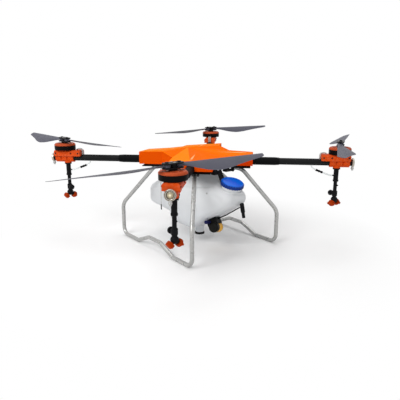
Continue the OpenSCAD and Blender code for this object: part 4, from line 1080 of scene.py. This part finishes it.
def tank_rows():
    """Rows of balls whose two hulls are the tank, as in the solids: (along, height, half width, radius)."""
    top = box_of("lower_plate")[0].z - SADDLE_H
    tilt = atan2(-NECK_AXIS.y, NECK_AXIS.z)
    r = TANK_ROUND
    ball_z, floor_z = top - r, top - TANK_H + r
    nose_y, nose_low = NOSE_END - NOSE_ROUND, top - NOSE_LOWER + NOSE_ROUND
    floor_half = TANK_HALF - FLOOR_IN
    body = (
        (TOP_FRONT, ball_z, TANK_HALF - r, r),
        (TOP_REAR, ball_z, TANK_HALF - r, r),
        (TOP_REAR - SHOULDER_L * cos(tilt), ball_z - SHOULDER_L * sin(tilt), TANK_HALF - SHOULDER_IN - r, r),
        (FLOOR_REAR, floor_z, floor_half - r, r),
        (FLOOR_FRONT, floor_z, floor_half - r, r),
    )
    nose = (
        (TOP_FRONT - NOSE_INSET, ball_z - NOSE_INSET, TANK_HALF - r - NOSE_INSET, r),
        (nose_y, top - NOSE_UPPER - NOSE_ROUND, TANK_HALF - NOSE_ROUND, NOSE_ROUND),
        (nose_y, nose_low, TANK_HALF - NOSE_ROUND, NOSE_ROUND),
        (FLOOR_FRONT - NOSE_INSET, nose_low - CHIN_DROP, floor_half - NOSE_ROUND, NOSE_ROUND),
    )
    return body, nose


def hull_of_balls(bm, rows):
    """Adds the hull of rows of balls to a mesh."""
    part = bmesh.new()
    for y, z, half, radius in rows:
        for x in (-half, half):
            bmesh.ops.create_icosphere(
                part, subdivisions=3, radius=radius, matrix=Matrix.Translation((x, y, z)))
    hull = bmesh.ops.convex_hull(part, input=part.verts)
    spare = {v for v in hull["geom_interior"] if isinstance(v, bmesh.types.BMVert)}
    bmesh.ops.delete(part, geom=list(spare), context="VERTS")
    loose = [f for f in part.faces if not any(e.is_manifold for e in f.edges)]
    bmesh.ops.delete(part, geom=loose, context="FACES")
    mesh = bpy.data.meshes.new("hull")
    part.to_mesh(mesh)
    part.free()
    bm.from_mesh(mesh)
    bpy.data.meshes.remove(mesh)


def mould_step(bm):
    bm.normal_update()
    for v in bm.verts:
        rise = v.co.z - STEP_FOOT.z + STEP_SLOPE * (v.co.y - STEP_FOOT.y)
        if rise > 0 and (v.co - NECK_AT).length > STEP_FROM_NECK:
            v.co -= v.normal * STEP_DEPTH * min(1.0, rise / STEP_RAMP) * (1 - abs(v.normal.z)) ** 0.5


def in_mouth(face):
    """Whether a face lies in the neck's opening."""
    off = face.calc_center_median() - NECK_AT
    depth = off.dot(NECK_AXIS)
    return abs(depth) < MOUTH_DEPTH and (off - NECK_AXIS * depth).length < MOUTH_R


def even_mesh(bm):
    """The outside of overlapping hulls, as one mesh of even faces."""
    shell = bpy.data.meshes.new("tank_shell")
    bm.to_mesh(shell)
    bm.free()
    maker = link(bpy.data.objects.new("tank_shell", shell))
    remesh = maker.modifiers.new("even faces", "REMESH")
    remesh.mode = "VOXEL"
    remesh.voxel_size = EVEN_FACE
    evaluated = maker.evaluated_get(bpy.context.evaluated_depsgraph_get())
    mesh = bpy.data.meshes.new_from_object(evaluated)
    bpy.data.objects.remove(maker)
    return mesh


def make_tank_body():
    hulls = bmesh.new()
    for rows in tank_rows():
        hull_of_balls(hulls, rows)
    bm = bmesh.new()
    bm.from_mesh(even_mesh(hulls))
    for _ in range(4):
        bmesh.ops.smooth_vert(
            bm, verts=bm.verts, factor=0.5, use_axis_x=True, use_axis_y=True, use_axis_z=True)
    mould_step(bm)
    bmesh.ops.delete(bm, geom=[face for face in bm.faces if in_mouth(face)], context="FACES")
    tank = mesh_piece("tank_body", bm, TANK_WHITE, 180)
    wall = tank.modifiers.new("wall", "SOLIDIFY")
    wall.thickness = TANK_WALL
    wall.offset = -1
    return place_piece(tank, "frame", "tank_white", "tank")


def fit_vent_screw(tank):
    """Small screw in the tank's left side, below its step."""
    hit, place, normal, _ = tank.ray_cast(VENT_SCREW_AT, Vector((1, 0, 0)))
    if hit:
        screw = turned_piece("tank_vent_screw", profile_mm(VENT_SCREW, 1), along(place, normal), STEEL, 24)
        place_piece(screw, "frame", "hub_black")


def make_tank_neck():
    flare_r, root_r, crest_r = NECK_R + NECK_FLARE, NECK_R - 1.6 * MM, NECK_R - 0.1 * MM
    profile = [(NECK_BORE, -NECK_FOOT), (flare_r, -1.2 * MM), (flare_r, 0.6 * MM), (NECK_R, 3 * MM)]
    for turn in range(THREAD_TURNS):
        z = THREAD_FROM + turn * THREAD_STEP
        profile += [(root_r, z), (crest_r, z + 1.2 * MM), (crest_r, z + 2 * MM), (root_r, z + 3.2 * MM)]
    profile += [(root_r, NECK_H), (NECK_BORE, NECK_H), (NECK_BORE, -NECK_FOOT)]
    neck = turned_piece("tank_neck", profile, along(NECK_AT, NECK_AXIS), TANK_WHITE, 72)
    place_piece(neck, "frame", "tank_white", "tank")


def make_tank_sump():
    low, high = box_of("drain_plug")
    foot = Vector(((low.x + high.x) / 2, (low.y + high.y) / 2, high.z))
    sump = turned_piece("tank_sump", profile_mm(SUMP, 4), along(foot, UP), TANK_WHITE)
    place_piece(sump, "frame", "tank_white", "tank")


# Pump lead


def make_pump_lead():
    """The lead's solid, smoothly shaded."""
    out = mesh_piece("pump_lead_skin", merged_copy("pump_lead"), BLACK_PLASTIC, 60)
    place_piece(out, "frame", "black_plastic", "pump_lead")


# Small pieces at the arm ends

# Distance from the motor axis towards the centre and height from the arm axis, in millimetres
LEAD_ROUTE = ((52, 31), (54, 36), (60, 39), (69, 39), (76, 36.5), (79.5, 29), (80, 20), (80, 13))
LEAD_LANES, LEAD_R = (-5 * MM, 0, 5 * MM), 2 * MM
# Turned profiles: radius and height, in millimetres
GLAND = ((0, 3), (5, 3), (5, -3), (6.5, -3.5), (6.5, -8), (4, -10), (4, -14), (0, -14))
NUB = ((0, 13.5), (2.6, 13.5), (2.6, 10), (4, 9), (4, 4), (0, 4))
# Places from the motor axis outwards and from the arm axis upwards
GLAND_OUT, GLAND_UP = 54.5 * MM, -18.5 * MM
LANCE_OUT, NUB_UP, KNOB_UP = -9 * MM, -96 * MM, -132 * MM
MOUNT_SCREWS_OUT, MOUNT_SCREWS_UP = (-66 * MM, -34 * MM, 34 * MM), 21 * MM
MOUNT_HALF_W = 28 * MM
KNOB_FROM_LANCE = 17 * MM
HUB_SCREW_ASIDE, PIN_HEAD = 8 * MM, 3 * MM
CAP_RIBS_FROM = 16.5 * MM
CLAMP_SCREWS_OUT, CLAMP_SCREW_ASIDE = (126 * MM, 154 * MM), 11.5 * MM


def make_motor_leads(arm):
    """Three sleeved leads out of the motor mount's top, over its inner end and into the arm tube."""
    bm = bmesh.new()
    for lane in LEAD_LANES:
        route = [arm_point(arm, -d * MM, h * MM, lane) for d, h in LEAD_ROUTE]
        sweep(bm, smooth_route(route, 4), LEAD_R, 10, UP.cross(OUTWARD[arm]))
    bmesh.ops.recalc_face_normals(bm, faces=bm.faces)
    place_piece(mesh_piece(arm + "_motor_leads", bm, LEAD_SLEEVE, 60), "frame", "hose_clear")


def make_lamp_gland(arm):
    """Plated gland under the lamp, for its cable."""
    place = along(arm_point(arm, GLAND_OUT, GLAND_UP), UP)
    gland = turned_piece(arm + "_lamp_gland", profile_mm(GLAND, 0.8), place, STEEL, 24)
    place_piece(gland, "frame", "lamp_metal")


def lance_point(arm, up):
    """Point on a lance's axis, and the way that its check valve points."""
    axis = arm_point(arm, LANCE_OUT, up)
    return axis, Vector((0, 1 if axis.y < 0 else -1, 0))


def make_lance_nub(arm):
    axis, valve_way = lance_point(arm, NUB_UP)
    nub = turned_piece(arm + "_lance_nub", profile_mm(NUB, 0.6), along(axis, -valve_way), BLACK_PLASTIC, 20)
    place_piece(nub, "frame", "black_plastic")


def make_knob_ribs(arm):
    axis, valve_way = lance_point(arm, KNOB_UP)
    knob = axis + valve_way * KNOB_FROM_LANCE
    scatter(arm + "_knob_ribs", RIBS, [(knob, valve_way)], "frame", "black_plastic", BLACK_PLASTIC,
            Count=22, Ring_Radius=10.9 * MM, Rib_Radius=0.7 * MM, Rib_Length=7 * MM)


def make_hub_screws(arm):
    """Two screws beside the line between the blade pins."""
    centre = ROTOR_AT[arm].copy()
    centre.z = box_of(arm + "_hub")[1].z - PIN_HEAD
    reach = Vector(JOINTS[arm + "_blade_a_fold"]["pos_m"]) - ROTOR_AT[arm]
    beside = UP.cross(Vector((reach.x, reach.y, 0)).normalized())
    places = [(centre + beside * way * HUB_SCREW_ASIDE, UP) for way in (-1, 1)]
    scatter(arm + "_hub_screws", BOLTS, places, arm + "_rotor", "hub_black", STEEL,
            Head_Radius=2.6 * MM, Head_Height=2 * MM)


def make_cap_ribs(arm, side):
    body = f"{arm}_nozzle_cap_{side}"
    joint = JOINTS[body + "_turn"]
    way = Vector(joint["axis"])
    foot = Vector(joint["pos_m"]) + way * CAP_RIBS_FROM
    scatter(f"{arm}_cap_ribs_{side}", RIBS, [(foot, way)], body, "nozzle_orange", NOZZLE_ORANGE,
            Count=18, Ring_Radius=12.9 * MM, Rib_Radius=0.7 * MM, Rib_Length=10 * MM)


def make_mount_screws():
    places = []
    for arm in ARMS:
        left = UP.cross(OUTWARD[arm])
        for side in (-1, 1):
            for out in MOUNT_SCREWS_OUT:
                places.append((arm_point(arm, out, MOUNT_SCREWS_UP, side * MOUNT_HALF_W), left * side))
    scatter("mount_screws", BOLTS, places, "frame", "hub_black", HUB_BLACK,
            Head_Radius=2.4 * MM, Head_Height=2 * MM)


def make_clamp_screws():
    """Four screws under each skid clamp."""
    under = UP * box_of("skid_clamps")[0].z
    heading = atan2(SKID_BASE, SKID_TRACK)
    places = []
    for turn in (heading, pi - heading, pi + heading, -heading):
        out = Vector((cos(turn), sin(turn), 0))
        for far in CLAMP_SCREWS_OUT:
            for side in (-1, 1):
                places.append((out * far + UP.cross(out) * side * CLAMP_SCREW_ASIDE + under, -UP))
    scatter("skid_clamp_screws", BOLTS, places, "frame", "hub_black", STEEL,
            Head_Radius=2.4 * MM, Head_Height=2 * MM)


# Small pieces under the hood

# Each plug's place across and the height of its lower end
PLUGS = (("left", -32 * MM, 322 * MM), ("right", 30 * MM, 328 * MM))
PLUG_W, PLUG_D, PLUG_TOP = 30 * MM, 20 * MM, 350 * MM
# Rear edge of the plate that the plugs hang on
PLUG_BACK_Y = -146.6 * MM
PLUG_RIBS, PLUG_RIB_STEP, PLUG_RIB_OUT, PLUG_RIB_H = 3, 4 * MM, 1.5 * MM, 2 * MM
PLUG_HEAD_ASIDE, PLUG_HEAD_Z = 6 * MM, 345 * MM
# Turned profiles: radius and height, in millimetres
PLUG_HEAD = ((0, 3), (5, 3), (5.5, -1), (0, -1))
ANTENNA_TIP = ((0, 0), (2.4, 0), (2.4, -24), (0, -24))
ANTENNA_TOP = Vector((-112, 121, 322)) * MM
ANTENNA_L, ANTENNA_R, ANTENNA_TIP_AT = 172 * MM, 1.1 * MM, 168 * MM


def add_block(bm, centre, size):
    place = Matrix.Translation(centre) @ Matrix.Diagonal((*size, 1))
    bmesh.ops.create_cube(bm, size=1.0, matrix=place)


def make_battery_plug(name, x, low):
    """Ribbed plug at the rear window, with a white round head."""
    bm = bmesh.new()
    middle_y = PLUG_BACK_Y - PLUG_D / 2
    add_block(bm, (x, middle_y, (PLUG_TOP + low) / 2), (PLUG_W, PLUG_D, PLUG_TOP - low))
    for k in range(1, PLUG_RIBS + 1):
        add_block(bm, (x, middle_y, low + k * PLUG_RIB_STEP),
                  (PLUG_W + 2 * PLUG_RIB_OUT, PLUG_D + 2 * PLUG_RIB_OUT, PLUG_RIB_H))
    plug = mesh_piece(f"battery_plug_{name}", bm, BLACK_PLASTIC)
    place_piece(round_edges(plug, 0.8 * MM), "frame", "black_plastic")
    spot = along((x + PLUG_HEAD_ASIDE, PLUG_BACK_Y - PLUG_D, PLUG_HEAD_Z), (0, -1, 0))
    head = turned_piece(f"battery_plug_head_{name}", profile_mm(PLUG_HEAD, 1.5), spot, NYLON, 28)
    place_piece(head, "frame", "tank_white")


def make_antenna():
    """Thin whip that hangs from the front left skid tube, with a black tip."""
    bm = bmesh.new()
    sweep(bm, [ANTENNA_TOP, ANTENNA_TOP - UP * ANTENNA_L], ANTENNA_R, 10, Vector((1, 0, 0)))
    place_piece(mesh_piece("antenna_whip", bm, SKID_METAL, 60), "frame", "skid_metal")
    place = along(ANTENNA_TOP - UP * ANTENNA_TIP_AT, UP)
    tip = turned_piece("antenna_tip", profile_mm(ANTENNA_TIP, 1.2), place, BLACK_PLASTIC, 20)
    place_piece(tip, "frame", "black_plastic")


# Light and floor

FLOOR_REACH = 14.0
FLOOR_COLOUR = (0.97, 0.97, 0.97, 1)
# The floor shows the part's shadow up to the first distance from the centre, and plain white from the second
SHADOW_FULL, SHADOW_GONE = 0.35, 0.9
WORLD_LIGHT, WORLD_SEEN = 0.42, 1.0
# Name, place, width in metres and power in watts
LAMPS = (
    ("key", (-2.9, -0.7, 2.5), 2.0, 80),
    ("fill", (1.6, -3.2, 1.6), 2.6, 5),
    ("top", (0.3, 0.5, 3.4), 2.6, 46),
)
LAMPS_AIM = Vector((0, 0, 0.3))


def seen(tree):
    """1 on a ray that shows its target to the camera, straight, mirrored or through glass."""
    path = add(tree, "ShaderNodeLightPath").outputs
    straight = maths(tree, "ADD", path["Is Camera Ray"], path["Is Glossy Ray"], True)
    return maths(tree, "ADD", straight, path["Is Transmission Ray"], True)


def make_stage():
    """Pale floor with the soft shadow of the part, which fades to plain white away from it."""
    corners = [(x * FLOOR_REACH, y * FLOOR_REACH, 0) for x, y in ((-1, -1), (1, -1), (1, 1), (-1, 1))]
    floor_mesh = bpy.data.meshes.new("floor")
    floor_mesh.from_pydata(corners, [], [(0, 1, 2, 3)])
    floor = link(bpy.data.objects.new("floor", floor_mesh))
    material = bpy.data.materials.new("pale floor")
    material.use_nodes = True
    tree = material.node_tree
    shader = tree.nodes["Principled BSDF"]
    shader.inputs["Base Color"].default_value = FLOOR_COLOUR
    shader.inputs["Roughness"].default_value = 1.0
    shader.inputs["Specular IOR Level"].default_value = 0.0
    white = add(tree, "ShaderNodeEmission")
    white.inputs["Strength"].default_value = 1.0
    away = add(tree, "ShaderNodeVectorMath", operation="LENGTH")
    tree.links.new(add(tree, "ShaderNodeTexCoord").outputs["Object"], away.inputs[0])
    far = spread(tree, away.outputs["Value"], SHADOW_FULL, SHADOW_GONE)
    mix = add(tree, "ShaderNodeMixShader")
    tree.links.new(times(tree, seen(tree), far), mix.inputs[0])
    tree.links.new(shader.outputs[0], mix.inputs[1])
    tree.links.new(white.outputs[0], mix.inputs[2])
    tree.links.new(mix.outputs[0], tree.nodes["Material Output"].inputs["Surface"])
    floor_mesh.materials.append(material)


def make_light():
    world = bpy.data.worlds.new("studio")
    bpy.context.scene.world = world
    world.use_nodes = True
    tree = world.node_tree
    sky = tree.nodes["Background"]
    sky.inputs["Color"].default_value = (1, 1, 1, 1)
    tree.links.new(spread(tree, seen(tree), 0.0, 1.0, WORLD_LIGHT, WORLD_SEEN), sky.inputs["Strength"])
    for name, place, size, power in LAMPS:
        data = bpy.data.lights.new(name, "AREA")
        data.size = size
        data.energy = power
        lamp = link(bpy.data.objects.new(name, data))
        lamp.location = place
        lamp.rotation_euler = (Vector(place) - LAMPS_AIM).to_track_quat("Z", "Y").to_euler()


# Assembly

# Width of rounded edges: the usual one, and where it differs
EDGE_USUAL = 0.5 * MM
EDGE_OF = {"hood": 1.6 * MM, "motor_mounts": 1.2 * MM, "mount_clamps": 1.0 * MM, "lower_plate": 0.4 * MM,
           "upper_plate": 0.4 * MM}
# Solids that a function of their own stands for
OWN_PIECE = {"spray_hoses", "hose_connectors", "left_skid", "right_skid", "tank", "pump_lead"}
OWN_PIECE |= {f"{arm}_blade_{side}" for arm in ARMS for side in SIDES}

make_camera()
for arm in ARMS:
    make_hose(arm)
for node in sorted(set(NODES) - OWN_PIECE):
    edge = EDGE_OF.get(node, EDGE_USUAL)
    if node == "hood":
        dress(node, edge, smooth_angle=3, flatten=False)
    else:
        dress(node, edge)
for arm in ARMS:
    for side in SIDES:
        make_blade(arm, side)
make_skid("left", -1)
make_skid("right", 1)
fit_vent_screw(make_tank_body())
make_tank_neck()
make_tank_sump()
make_pump_lead()
for arm in ARMS:
    make_motor_leads(arm)
    make_lamp_gland(arm)
    make_lance_nub(arm)
for arm in ARMS:
    make_knob_ribs(arm)
    make_hub_screws(arm)
    for side in SIDES:
        make_cap_ribs(arm, side)
make_mount_screws()
make_clamp_screws()
for plug in PLUGS:
    make_battery_plug(*plug)
make_antenna()
make_stage()
make_light()

bpy.context.scene.view_settings.view_transform = "Standard"
